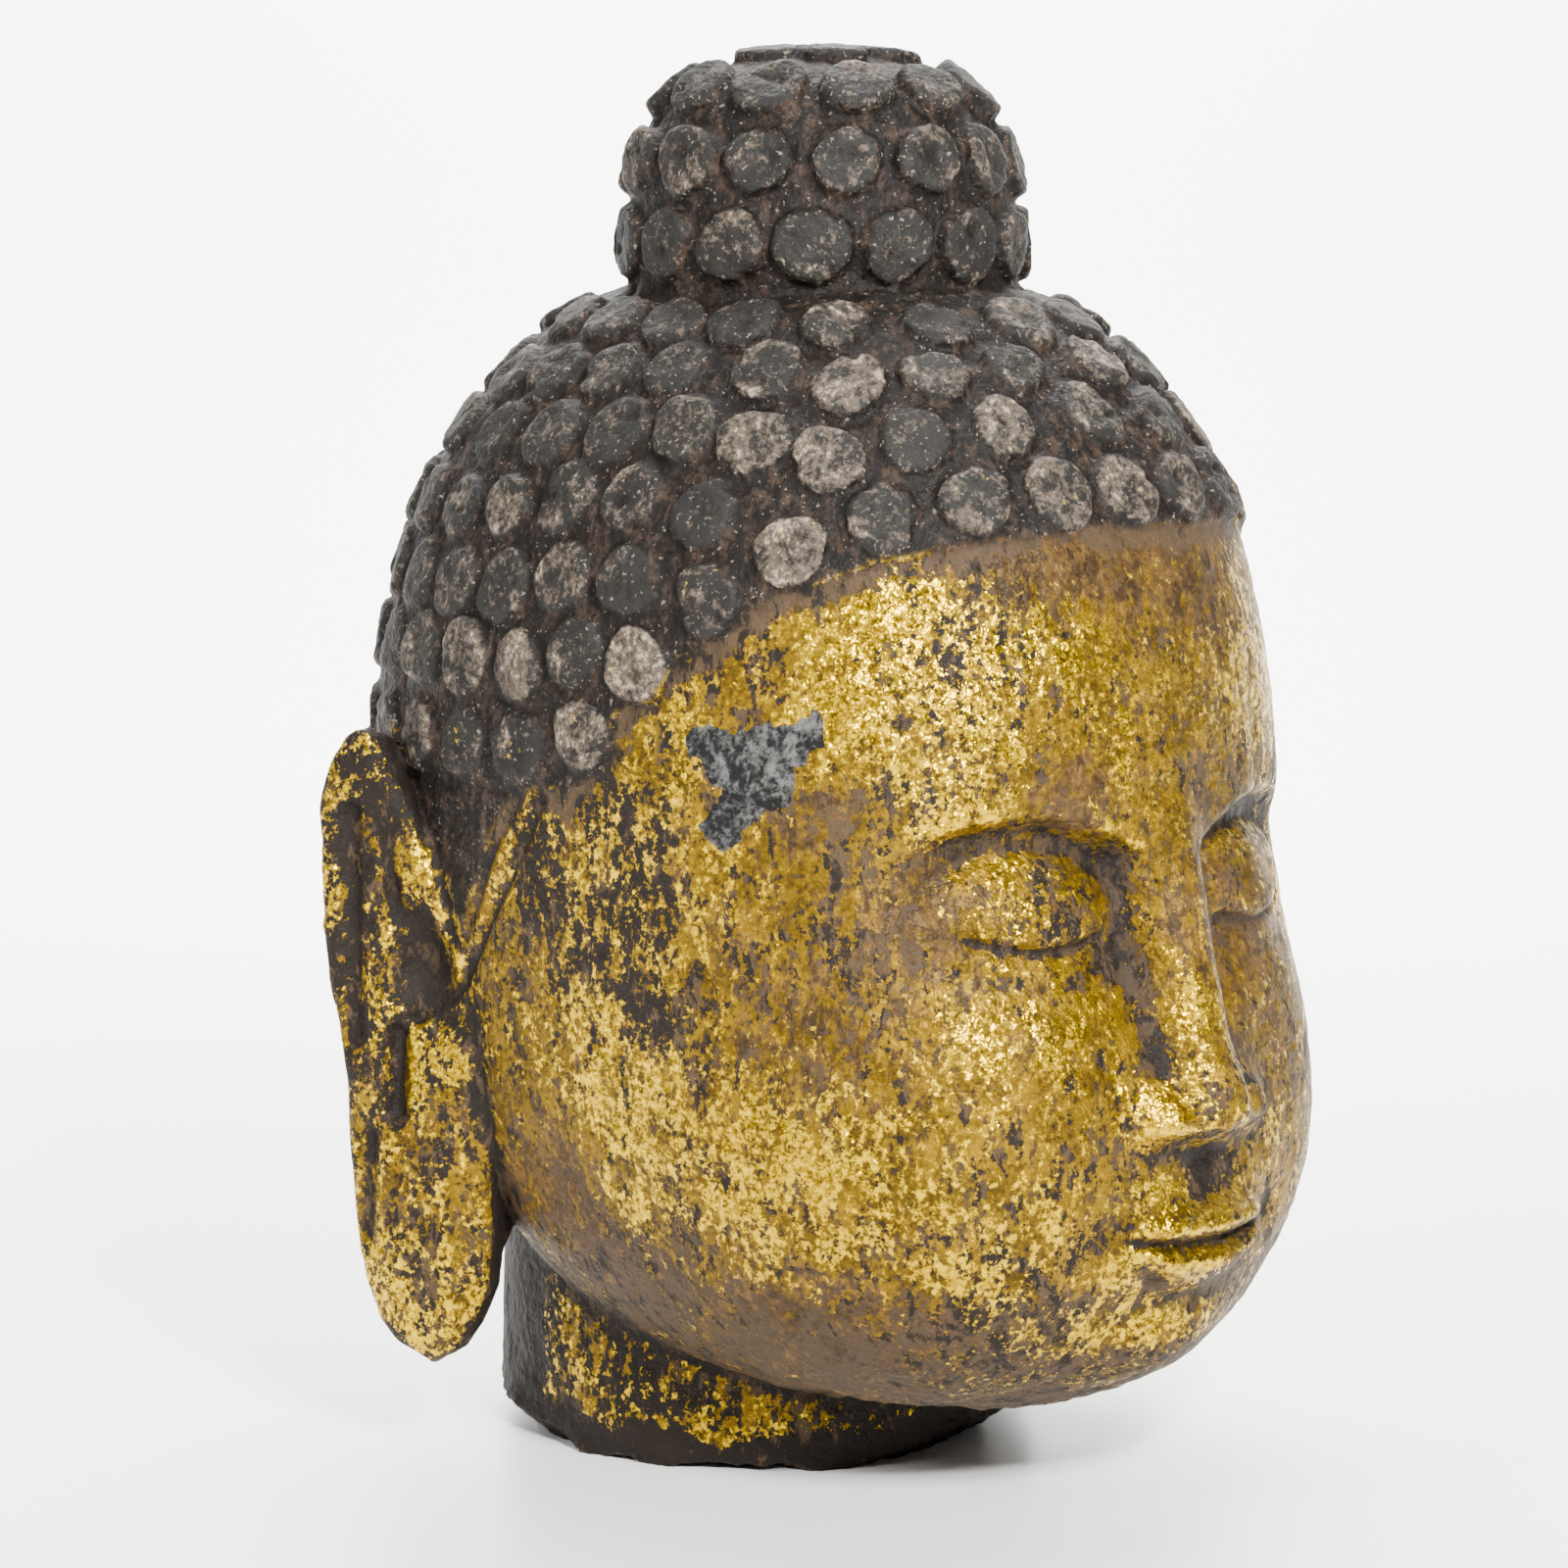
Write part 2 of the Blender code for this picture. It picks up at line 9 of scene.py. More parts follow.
import bpy
import numpy as np
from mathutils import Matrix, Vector


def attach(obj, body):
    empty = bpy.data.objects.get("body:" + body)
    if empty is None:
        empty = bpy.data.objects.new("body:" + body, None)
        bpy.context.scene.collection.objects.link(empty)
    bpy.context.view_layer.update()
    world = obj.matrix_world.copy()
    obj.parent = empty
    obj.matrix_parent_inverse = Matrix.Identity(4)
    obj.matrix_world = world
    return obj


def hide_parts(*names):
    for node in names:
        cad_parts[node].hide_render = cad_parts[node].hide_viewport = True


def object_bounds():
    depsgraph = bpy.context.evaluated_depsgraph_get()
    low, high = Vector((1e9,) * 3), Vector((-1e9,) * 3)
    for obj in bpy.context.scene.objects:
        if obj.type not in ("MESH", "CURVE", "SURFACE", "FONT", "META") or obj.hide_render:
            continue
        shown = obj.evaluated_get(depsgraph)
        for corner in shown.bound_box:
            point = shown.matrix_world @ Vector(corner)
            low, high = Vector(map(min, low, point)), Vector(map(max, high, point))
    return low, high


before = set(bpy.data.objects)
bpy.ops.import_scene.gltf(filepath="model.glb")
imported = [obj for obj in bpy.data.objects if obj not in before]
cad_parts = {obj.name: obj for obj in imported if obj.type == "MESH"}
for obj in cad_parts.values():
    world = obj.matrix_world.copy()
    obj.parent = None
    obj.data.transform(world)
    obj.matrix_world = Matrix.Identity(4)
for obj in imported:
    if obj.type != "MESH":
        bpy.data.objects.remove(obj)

CAD_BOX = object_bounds()
MM = 0.001

# Driving sizes of the whole head
CHIN_Z = 16 * MM
CROWN_Z = 265 * MM
TOP_Z = 311.5 * MM
HEAD_HALF_WIDTH = 88 * MM
HEAD_HALF_DEPTH = 104 * MM
HEAD_MIDDLE_Y = 8.5 * MM
SKULL_FULLNESS = 2.4
JAW_FULLNESS = 3.2
JAW_FORWARD = 33 * MM
JAW_SHALLOWER = 0.14
SKULL_SQUARENESS = 2.3
JAW_SQUARER = 0.25

# The face is set out in equal thirds from hairline to chin, and is five eyes wide
HAIRLINE_Z = 209 * MM
FACE_THIRD = (HAIRLINE_Z - CHIN_Z) / 3
BROW_Z = HAIRLINE_Z - FACE_THIRD
NOSE_BASE_Z = CHIN_Z + FACE_THIRD
MOUTH_Z = NOSE_BASE_Z - FACE_THIRD / 3
EYE_WIDTH = 2 * HEAD_HALF_WIDTH / 5
EYE_X = EYE_WIDTH
EYE_Z = BROW_Z - FACE_THIRD / 4
# The eye's slit lies just under the lid's edge, and the lips part along a line that rises outwards
SLIT_DROP = 1.3 * MM
HALF_MOUTH = 0.68 * EYE_WIDTH
PARTING_RISE = 3 * MM

# The topknot, which stands on the crown
KNOT_RADIUS = 43.5 * MM
KNOT_BASE_Z = 244 * MM
KNOT_ROUNDING_Z = 256 * MM
KNOT_FULLNESS = 3.2

# The curls are thin discs, in staggered rows
CURL_RADIUS = 8.3 * MM
CURL_PROUD = 3.2 * MM
CURL_ROOT = 4.0 * MM
CURL_PITCH = 19.5 * MM
CURL_ROW_PITCH = 16.4 * MM
CROWDED = 0.5
CURL_ABOVE_EDGE = 0.9 * CURL_RADIUS
HAIRLINE_ROW_RISE = 0.95 * CURL_RADIUS
# A disc's half section, from the middle of its foot to the middle of its top: shares of the radius,
# then heights as shares of CURL_PROUD or, below the hair's ground, of CURL_ROOT
PROFILE_REACH = np.array((0.0, 0.7, 1.03, 1.04, 1.03, 1.0, 0.95, 0.85, 0.6, 0.3, 0.0))
PROFILE_HEIGHT = np.array((-1, -1, -1, -0.2, 0.4, 0.7, 0.88, 0.97, 1.0, 0.97, 0.95))
KNOT_TOP_Z = TOP_Z - CURL_PROUD
KNOT_RING_HEIGHTS = (268 * MM, 286 * MM, 301 * MM)
KNOT_TOP_RING_RISE = 0.9945
KNOT_TOP_CURLS = 5

# The hairline drops from the forehead to the temples, passes over the ears and falls to the nape
TEMPLE_ANGLE = math.radians(84)
TEMPLE_DROP = 60 * MM
TEMPLE_CURVE = 3.2
EAR_BACK_ANGLE = math.radians(128)
HAIR_OVER_EAR_Z = 154 * MM
NAPE_Z = 72 * MM
HAIR_PROUD = 1.1 * MM
# In front of each ear it comes down in a point, behind a line that slants back from the temple
HAIR_POINT_Y = 15 * MM
HAIR_POINT_Z = 116 * MM
HAIR_POINT_SLANT = 0.53

# The ears. Each row of the outline: height, rear edge, front edge, in mm
EAR_OUTLINE = np.array(
    (
        (21, 26, 26),
        (25, 18, 33),
        (31, 13, 37),
        (40, 10, 40.5),
        (50, 8, 41),
        (66, 7, 41),
        (84, 6, 42),
        (97, 4, 43),
        (107, 2, 40),
        (118, 0.5, 34),
        (131, 0, 29),
        (145, 0, 22),
        (154, 2, 18),
        (160, 6, 14),
        (163, 10, 10),
    )
)
EAR_THICKNESS = 12 * MM
EAR_ROOT = 14 * MM
EAR_FREE_BELOW_Z = 42 * MM
EAR_REAR = np.array((101, 66.5, 0)) * MM
EAR_FRONT = np.array((81, 24.5, 0)) * MM
EAR_WAY = (EAR_FRONT - EAR_REAR) / np.linalg.norm(EAR_FRONT - EAR_REAR)
EAR_OUTWARD = np.array((-EAR_WAY[1], EAR_WAY[0], 0.0))
EAR_BOTTOM_Z, EAR_TOP_Z = EAR_OUTLINE[0, 0] * MM, EAR_OUTLINE[-1, 0] * MM

# The neck, an oval column set behind the chin and snapped off
NECK_HALF_WIDTH = 61 * MM
NECK_HALF_DEPTH = 62 * MM
NECK_MIDDLE_Y = 25.5 * MM
NECK_TOP_Z = 78 * MM
# Each break plane: its direction round the neck and its slope from level in degrees,
# and how high it cuts the neck's side in mm
BREAKS = (
    (-118, 35, 7),
    (-45, 30, 1.5),
    (12, 33, 8.5),
    (55, 30, 10),
    (95, 44, 6),
    (133, 38, 5),
    (180, 48, 4),
    (222, 38, 8),
)

# The furrow between the cheek and the ear, and the finer one above it: points in mm, half width and depth
FURROWS = (
    (((-87, 6, 151), (-87, 16, 134), (-86, 28, 118), (-86, 37, 106), (-88, 47, 99)), 1.7, 2.4),
    (((-87, 12, 152), (-87, 24, 135), (-86, 33, 118)), 1.3, 1.2),
)

# Where the leaf is brightest, where black lacquer shows, and where only brown ground is left.
# The brightest leaf sits where the highlights fall, so it is partly painted highlight, and some black and
# brown places are painted shade.
# Each row: x, y, z and the reach of the place in mm, and how strong it is
BRIGHT_AND_HIGHLIGHT_PLACES = (
    (-56, -73, 182, 15, 0.9),
    (-38, -83, 186, 14, 0.8),
    (-68, -56, 192, 20, 0.35),
    (-53, -79, 155, 11, 1.0),
    (-84, -22, 174, 22, 0.5),
    (-84, -25, 86, 26, 0.4),
    (-70, -58, 76, 20, 0.8),
    (-16, -106, 87, 10, 1.0),
    (-10, -104, 54, 10, 1.2),
    (-34, -86, 38, 14, 0.5),
    (-92, 47, 42, 16, 1.1),
    (-90, 46, 92, 10, 0.6),
    (-40, -20, 16, 22, 0.2),
    (40, -84, 184, 24, 0.3),
    (70, -58, 76, 22, 0.3),
)
# Black lacquer showing; the rows under the nose, in the jaw's shadow, round the foot of the neck and on the
# far cheek are painted shade
BLACK_AND_SHADE_PLACES = (
    (-48, -78, 186, 16, 0.45),
    (-86, -20, 147, 12, 0.7),
    (-86, -22, 116, 24, 0.8),
    (-88, 4, 136, 18, 0.7),
    (-77, -3, 50, 16, 0.8),
    (-56, 8, 27, 16, 0.7),
    (-44, -28, 26, 12, 0.4),
    (-49, -86, 52, 12, 0.6),
    (0, -104, 74, 9, 1.0),
    (-60, 58, 20, 22, 2.5),
    (30, -20, 10, 34, 2.5),
    (-52, 10, 12, 16, 0.7),
    (-20, -34, 8, 14, 0.8),
    (-95, 58, 156, 10, 1.2),
    (84, -24, 114, 30, 0.8),
    (50, -80, 144, 20, 0.6),
)
# Brown ground left; the rows under the jaw and on the far side of the face are painted shade
BROWN_AND_SHADE_PLACES = (
    (-80, -32, 199, 9, 0.9),
    (-12, -86, 214, 16, 0.7),
    (28, -85, 197, 22, 0.3),
    (-72, -60, 150, 10, 0.5),
    (-29, -80, 208, 15, 1.0),
    (9, -88, 200, 24, 0.45),
    (-27, -92, 155, 10, 0.9),
    (-56, -76, 131, 12, 0.7),
    (-62, -48, 36, 22, 0.7),
    (-70, -60, 106, 22, 0.5),
    (10, -100, 134, 22, 0.5),
    (40, -84, 104, 34, 0.5),
    (-82, 10, 68, 16, 0.7),
    (-72, -4, 46, 16, 0.6),
)

# Where coating and ground have flaked off the temple: runs between two points, and their half width, in mm
SCARS = (
    ((-82, -37, 165), (-70, -58, 168), 4.4),
    ((-79, -42, 163), (-76, -49, 160), 6.0),
    ((-79, -44, 158), (-80, -41, 148), 3.6),
)

# How the fused stone is made
VOXEL = 0.8 * MM
TRIANGLES = 190_000

# The camera: where it stands and how much it takes in at the head's distance
CAMERA_AZIMUTH = math.radians(-45)
CAMERA_DISTANCE = 1150 * MM
CAMERA_HEIGHT = 294 * MM
AIM_Z = 147 * MM
AIM_SIDEWAYS = -14.6 * MM
VIEW_WIDTH = 352 * MM
SENSOR = 36.0

# The lamps are square soft boxes, which look at the head's middle or at a target. Each row: name,
# direction round from the front and upwards in degrees, distance and size in m, power in W
LAMPS = (
    ("key", -24, 34, 1.2, 0.28, 36),
    ("spark", -30, 30, 1.1, 0.05, 7),
    ("side", -105, 30, 1.3, 0.4, 12),
    ("top", 135, 62, 1.9, 1.4, 95),
    ("wall", 135, 55, 1.6, 1.2, 160, (1.5, 1.5, 0.5)),
)
ROOM_LIGHT = 0.12


def smooth_step(low, high, value):
    """0 below low, 1 above high, and an even S curve between them."""
    share = np.clip((value - low) / (high - low), 0.0, 1.0)
    return share * share * (3.0 - 2.0 * share)


def mound(across, up, half_width, half_height):
    """A soft round hill, 1 at its top, from the distances across and up from its middle."""
    return np.exp(-((across / half_width) ** 2) - (up / half_height) ** 2)


def fade(distance, reach):
    """1 at no distance, falling softly to almost 0 at twice the reach."""
    return np.exp(-((distance / reach) ** 2))


def distance_to_run(points, start, end):
    """How far each point lies from the straight run between two places."""
    start = np.array(start, float)
    run = np.array(end) - start
    share = np.clip((points - start) @ run / (run @ run), 0.0, 1.0)
    return np.linalg.norm(points - start - share[:, None] * run, axis=1)


def lattice_noise(points, size, seed):
    """Smooth noise from -1 to 1: random values on the corners of cubes of this size, blended in between."""
    cells = 32
    table = np.random.default_rng(seed).uniform(-1.0, 1.0, (cells, cells, cells))
    place = points / size
    corner = np.floor(place).astype(int)
    share = place - corner
    share = share * share * (3.0 - 2.0 * share)
    total = np.zeros(len(points))
    for step in np.ndindex(2, 2, 2):
        weight = np.prod(np.where(step, share, 1.0 - share), axis=1)
        index = (corner + step) % cells
        total += weight * table[index[:, 0], index[:, 1], index[:, 2]]
    return total


def layered_noise(points, *layers):
    """The sum of some noises. Each layer: its height, its size in mm and its seed."""
    return sum(height * lattice_noise(points, size * MM, seed) for height, size, seed in layers)


def skull_sections(z):
    """Half width, half depth and middle y of the head's level oval at height z."""
    lift = np.clip((z - (CHIN_Z + CROWN_Z) / 2) / ((CROWN_Z - CHIN_Z) / 2), -1.0, 1.0)
    fullness = SKULL_FULLNESS + (JAW_FULLNESS - SKULL_FULLNESS) * smooth_step(0.1, -0.6, lift)
    span = (1.0 - np.abs(lift) ** fullness) ** (1.0 / fullness)
    below = np.clip(-lift, 0.0, 1.0)
    half_width = HEAD_HALF_WIDTH * span
    half_depth = HEAD_HALF_DEPTH * span * (1.0 - JAW_SHALLOWER * below**1.5)
    middle_y = HEAD_MIDDLE_Y - JAW_FORWARD * below**1.2
    return half_width, half_depth, middle_y


def skull_point(azimuth, z):
    """The plain head: at each height a superellipse, round from the front towards +X."""
    half_width, half_depth, middle_y = skull_sections(z)
    squareness = SKULL_SQUARENESS + JAW_SQUARER * smooth_step(EYE_Z, MOUTH_Z, z)
    reach = (
        np.abs(np.sin(azimuth) / np.maximum(half_width, 1e-6)) ** squareness
        + np.abs(np.cos(azimuth) / np.maximum(half_depth, 1e-6)) ** squareness
    ) ** (-1.0 / squareness)
    return np.stack([reach * np.sin(azimuth), middle_y - reach * np.cos(azimuth), z + 0 * azimuth], axis=-1)


def brow_line(side):
    """Height of the brow's edge at a distance to the side: an arch over each eye."""
    along = np.clip((side - 8 * MM) / (60 * MM), 0.0, 1.0)
    return BROW_Z - 2 * MM + 9 * MM * np.sin(math.pi * along)


def lid_edge_z(side):
    """Height of the lowered lid's edge: a shallow bow that ends a little higher on the outside."""
    along = np.clip((side - EYE_X + EYE_WIDTH / 2) / EYE_WIDTH, 0.0, 1.0)
    return EYE_Z - 2 * MM - 3.5 * MM * np.sin(math.pi * along) + 2 * MM * along


def eye_relief(side, z):
    """Socket under the brow's edge, a rounded lid with a crease over it, and the eye set back below it."""
    under_brow = brow_line(side) - z
    socket = smooth_step(-1 * MM, 5 * MM, under_brow) * (1 - smooth_step(18 * MM, 46 * MM, under_brow))
    socket = socket * smooth_step(6 * MM, 16 * MM, side) * (1 - smooth_step(42 * MM, 68 * MM, side))
    across = (side - EYE_X) / (0.66 * EYE_WIDTH)
    up = (z - EYE_Z - 1 * MM) / (14 * MM)
    reach = np.sqrt(across**2 + up**2)
    lid = np.clip(1 - reach**2, 0.0, 1.0) ** 0.9 * (1 - 0.45 * smooth_step(0, -1, up))
    crease = fade(reach - 1.02, 0.06) * smooth_step(0.1, 0.5, up)
    over_edge = z - lid_edge_z(side)
    within = smooth_step(-2 * MM, 5 * MM, EYE_WIDTH / 2 - np.abs(side - EYE_X))
    set_back = smooth_step(0.6 * MM, -0.8 * MM, over_edge) * smooth_step(-12 * MM, -3 * MM, over_edge)
    slit = fade(over_edge + SLIT_DROP, 1.3 * MM)
    opening = (1.0 * MM * set_back + 2.4 * MM * slit) * within
    return -7 * MM * socket + 6.4 * MM * lid - 0.9 * MM * crease - opening


def nose_relief(side, z):
    """Straight bridge that widens and rises to a round tip, with a wing on each side."""
    down = np.clip((BROW_Z + 2 * MM - z) / (BROW_Z - NOSE_BASE_Z), 0.0, 1.0)
    height = 4.5 * MM + 7 * MM * down**1.2
    half_width = 12 * MM + 5 * MM * down**2
    bridge = height * (1 - smooth_step(0.12, 1.05, side / half_width))
    bridge = bridge * (1 - smooth_step(BROW_Z - 8 * MM, BROW_Z + 26 * MM, z))
    tip = 4 * MM * mound(side, z - NOSE_BASE_Z - 10 * MM, 9 * MM, 8 * MM)
    wing = 9 * MM * mound(side - 13.5 * MM, z - NOSE_BASE_Z - 6.5 * MM, 7 * MM, 8 * MM)
    underside = smooth_step(NOSE_BASE_Z - 4 * MM, NOSE_BASE_Z + 6 * MM, z)
    return np.sqrt((bridge + tip) ** 2 + wing**2) * underside


def mouth_relief(side, z):
    """Soft muzzle, two full lips that part along a line rising to the corners, and a round chin."""
    outward = np.clip(side / HALF_MOUTH, 0.0, 1.0)
    parting = MOUTH_Z + PARTING_RISE * outward**2
    taper = 1 - smooth_step(0.55, 1.08, side / HALF_MOUTH)
    upper = np.clip((z - parting) / (10 * MM * (1.05 - outward**2)), 0.0, 1.0)
    lower = np.clip((parting - z) / (11 * MM * (1.05 - outward**2)), 0.0, 1.0)
    lips = 3.2 * MM * np.sin(math.pi * upper**0.7) + 3.8 * MM * np.sin(math.pi * lower**0.8)
    parting_groove = 2.4 * MM * fade(z - parting, 1.6 * MM)
    muzzle = 6.5 * MM * mound(side, z - MOUTH_Z - 1 * MM, 34 * MM, 20 * MM)
    corner = 2 * MM * mound(side - HALF_MOUTH - 2 * MM, z - parting, 5 * MM, 5 * MM)
    philtrum = 1.4 * MM * mound(side, z - MOUTH_Z - 15 * MM, 3.6 * MM, 6 * MM)
    chin = 9 * MM * mound(side, z - CHIN_Z - 16 * MM, 21 * MM, 14 * MM)
    under_lip = 3 * MM * mound(side, z - MOUTH_Z + 14 * MM, 20 * MM, 5 * MM)
    return (lips - parting_groove) * taper + muzzle + chin - corner - philtrum - under_lip


def face_relief(x, z):
    """How far the face stands forward of the plain head. It is the same on both sides."""
    side = np.abs(x)
    cheek = 3.5 * MM * mound(side - 50 * MM, z - NOSE_BASE_Z - 10 * MM, 22 * MM, 28 * MM)
    return eye_relief(side, z) + nose_relief(side, z) + mouth_relief(side, z) + cheek


def hair_edge_z(azimuth):
    """Height of the hair's lower edge at an angle round from the front."""
    turn = np.abs(np.arctan2(np.sin(azimuth), np.cos(azimuth)))
    temple = HAIRLINE_Z - TEMPLE_DROP * (turn / TEMPLE_ANGLE) ** TEMPLE_CURVE
    behind = np.where(turn < EAR_BACK_ANGLE, HAIR_OVER_EAR_Z, NAPE_Z)
    return np.where(turn < TEMPLE_ANGLE, temple, behind)


def head_point(azimuth, z):
    """The head with its face, and the hair's ground standing a little proud of the skin."""
    points = skull_point(azimuth, z)
    facing = smooth_step(0.15, 0.55, np.cos(azimuth))
    points[..., 1] -= face_relief(points[..., 0], points[..., 2]) * facing
    ragged = 1.2 * MM * lattice_noise(points.reshape(-1, 3), 9 * MM, 5).reshape(azimuth.shape)
    hair = smooth_step(-1 * MM, 1 * MM, z - hair_edge_z(azimuth) + ragged)
    outward = np.stack([np.sin(azimuth), -np.cos(azimuth), 0 * azimuth], axis=-1)
    return points + HAIR_PROUD * hair[..., None] * outward


def knot_point(azimuth, rise):
    """The topknot: a round block with a domed top. rise runs from 0 at its foot to 1 at its top."""
    z = KNOT_BASE_Z + (KNOT_TOP_Z - KNOT_BASE_Z) * rise
    over = np.clip((z - KNOT_ROUNDING_Z) / (KNOT_TOP_Z - KNOT_ROUNDING_Z), 0.0, 1.0)
    radius = KNOT_RADIUS * (1 - over**KNOT_FULLNESS) ** (1 / KNOT_FULLNESS)
    x = radius * np.sin(azimuth)
    y = HEAD_MIDDLE_Y - radius * np.cos(azimuth)
    return np.stack([x, y, z + 0 * azimuth], axis=-1)


def ear_outline(z):
    """Rear and front edge of the ear at height z, as distances from the ear's rear line."""
    heights, rear, front = EAR_OUTLINE.T * MM
    return np.interp(z, heights, rear), np.interp(z, heights, front)


def groove(along, z, start, end, half_width):
    """1 in the middle of a straight groove between two points of the ear, fading out across half_width."""
    run = (end[0] - start[0]) * MM, (end[1] - start[1]) * MM
    projected = (along - start[0] * MM) * run[0] + (z - start[1] * MM) * run[1]
    share = np.clip(projected / (run[0] ** 2 + run[1] ** 2), 0.0, 1.0)
    across = along - start[0] * MM - share * run[0]
    up = z - start[1] * MM - share * run[1]
    return mound(across, up, half_width, half_width)


def ear_relief(along, z):
    """Raised rim and forked fold round the hollow shell, the slot below it, the lobe's groove and pad."""
    rear, front = ear_outline(z)
    upper = smooth_step(78 * MM, 98 * MM, z)
    rim_groove = groove(along, z, (9, 94), (8, 144), 3.0 * MM)
    fork = groove(along, z, (19, 122), (16, 140), 3.5 * MM)
    shell = mound(along - 25 * MM, z - 110 * MM, 8 * MM, 13 * MM)
    slot = groove(along, z, (19, 78), (19, 95), 2.6 * MM)
    lobe_groove = groove(along, z, (11, 50), (13, 72), 2.2 * MM)
    lobe = mound(along - 27 * MM, z - 40 * MM, 12 * MM, 15 * MM)
    front_rim = mound(along - front + 3 * MM, z - 116 * MM, 3.5 * MM, 16 * MM)
    hollows = 3.5 * rim_groove * upper + 2.5 * fork + 7.5 * shell + 4.5 * slot + 2.4 * lobe_groove
    return (2.5 * lobe + 2.5 * front_rim - hollows) * MM


def break_height(x, y):
    """Height of the broken underside: the highest, at each place, of the break planes and the ground."""
    height = 0 * x
    for turn, slope, rim in BREAKS:
        way_x, way_y = math.sin(math.radians(turn)), -math.cos(math.radians(turn))
        outward = x * way_x + (y - NECK_MIDDLE_Y) * way_y - NECK_HALF_DEPTH
        height = np.maximum(height, rim * MM + math.tan(math.radians(slope)) * outward)
    return height


def grid(columns, rows):
    """Angles round the whole turn, and shares from 0 to 1, as two arrays of rows by columns."""
    around = np.linspace(0, 2 * math.pi, columns, endpoint=False)
    return np.broadcast_arrays(around[None, :], np.linspace(0, 1, rows)[:, None])


def crowded_ends(share):
    """Shares from 0 to 1 by a cosine, closer together at both ends."""
    return 0.5 - 0.5 * np.cos(math.pi * share)


def head_surface():
    """Rings of head_point from chin to crown, closer together at both ends, where the form turns over."""
    azimuth, share = grid(columns=520, rows=380)
    return head_point(azimuth, CHIN_Z + (CROWN_Z - CHIN_Z) * crowded_ends(share))


def knot_surface():
    """Rings of knot_point, closer together at the top."""
    azimuth, share = grid(columns=200, rows=80)
    return knot_point(azimuth, np.sin(math.pi / 2 * share))


def ear_surface(side):
    """A flat pillow between the ear's edges: the outer face carries the relief, the inner one the root."""
    azimuth, share = grid(columns=140, rows=240)
    z = EAR_BOTTOM_Z + (EAR_TOP_Z - EAR_BOTTOM_Z) * (0.35 * crowded_ends(share) + 0.65 * share)
    rear, front = ear_outline(z)
    across, facing = np.sin(azimuth), np.cos(azimuth)
    along = (rear + front) / 2 + (front - rear) / 2 * np.sign(across) * np.abs(across) ** 0.8
    thickness = EAR_THICKNESS / 2 * np.sign(facing) * np.abs(facing) ** 0.5
    thickness = thickness * np.clip(np.sin(math.pi * share), 0, 1) ** 0.3
    root = EAR_ROOT * smooth_step(0, 20 * MM, along - rear)
    root = root * smooth_step(EAR_FREE_BELOW_Z, EAR_FREE_BELOW_Z + 18 * MM, z)
    depth = thickness + ear_relief(along, z) * smooth_step(0.0, 0.3, facing)
    depth = depth - root * smooth_step(0.0, 0.3, -facing) - EAR_THICKNESS / 2
    points = EAR_REAR + along[..., None] * EAR_WAY + depth[..., None] * EAR_OUTWARD
    points[..., 2] = z
    points[..., 0] *= side
    return points[:, ::-1] if side > 0 else points


def neck_surface():
    """The underside from its middle out to the rim, the oval side up from there, and a lid in the head."""
    azimuth, share = grid(columns=360, rows=130)
    under = np.clip(share / 0.55, 0.0, 1.0)
    up = np.clip((share - 0.55) / 0.44, 0.0, 1.0)
    lid = np.clip((share - 0.99) / 0.01, 0.0, 1.0)
    reach = under * (1 - 0.03 * up) * (1 - lid)
    x = NECK_HALF_WIDTH * reach * np.sin(azimuth)
    y = NECK_MIDDLE_Y - NECK_HALF_DEPTH * reach * np.cos(azimuth)
    foot = break_height(x, y)
    return np.stack([x, y, foot + (NECK_TOP_Z - foot) * up], axis=-1)


def ring_angles(circumference, shift, pitch=CURL_PITCH):
    """Angles of evenly spaced curls round a ring, turned by a share of their spacing."""
    count = max(3, round(circumference / pitch))
    return [2 * math.pi * (i + shift) / count for i in range(count)]


def hairline_curls():
    """The lowest row of curls, which follows the hairline from temple to temple."""
    curls, azimuth, step = [], 0.0, 0.01
    while azimuth < TEMPLE_ANGLE:
        z = float(hair_edge_z(azimuth)) + HAIRLINE_ROW_RISE
        ahead = azimuth + step
        here = skull_point(np.array(azimuth), np.array(z))
        onward = skull_point(np.array(ahead), hair_edge_z(ahead) + HAIRLINE_ROW_RISE)
        curls.append((azimuth, z))
        if azimuth > 0:
            curls.append((-azimuth, z))
        azimuth += step * CURL_PITCH / float(np.linalg.norm(onward - here))
    return curls


def scalp_curls():
    """Angles and heights of the head's curls: the hairline row, then rings down from the topknot."""
    z = np.linspace(CROWN_Z, NAPE_Z, 400)
    meridian = skull_point(np.full_like(z, math.pi / 2), z)
    arc = np.concatenate([[0.0], np.cumsum(np.linalg.norm(np.diff(meridian, axis=0), axis=1))])
    reaches = np.arange(KNOT_RADIUS + CURL_RADIUS + 1 * MM, arc[-1], CURL_ROW_PITCH)
    rings = []
    for row, ring_z in enumerate(np.interp(reaches, arc, z)):
        half_width, half_depth, _ = skull_sections(ring_z)
        circumference = math.pi * float(half_width + half_depth)
        rings.append([(azimuth, ring_z) for azimuth in ring_angles(circumference, row % 2 / 2)])
    fixed = hairline_curls() + rings[0]
    placed = skull_point(*np.array(fixed).T)
    loose = []
    for ring in rings[1:]:
        for azimuth, ring_z in ring:
            nearest = np.linalg.norm(placed - skull_point(azimuth, ring_z), axis=1).min()
            if ring_z > hair_edge_z(azimuth) + CURL_ABOVE_EDGE and nearest > CROWDED * CURL_PITCH:
                loose.append((azimuth, ring_z))
    return np.concatenate([np.array(fixed), spread(np.array(loose), placed)])


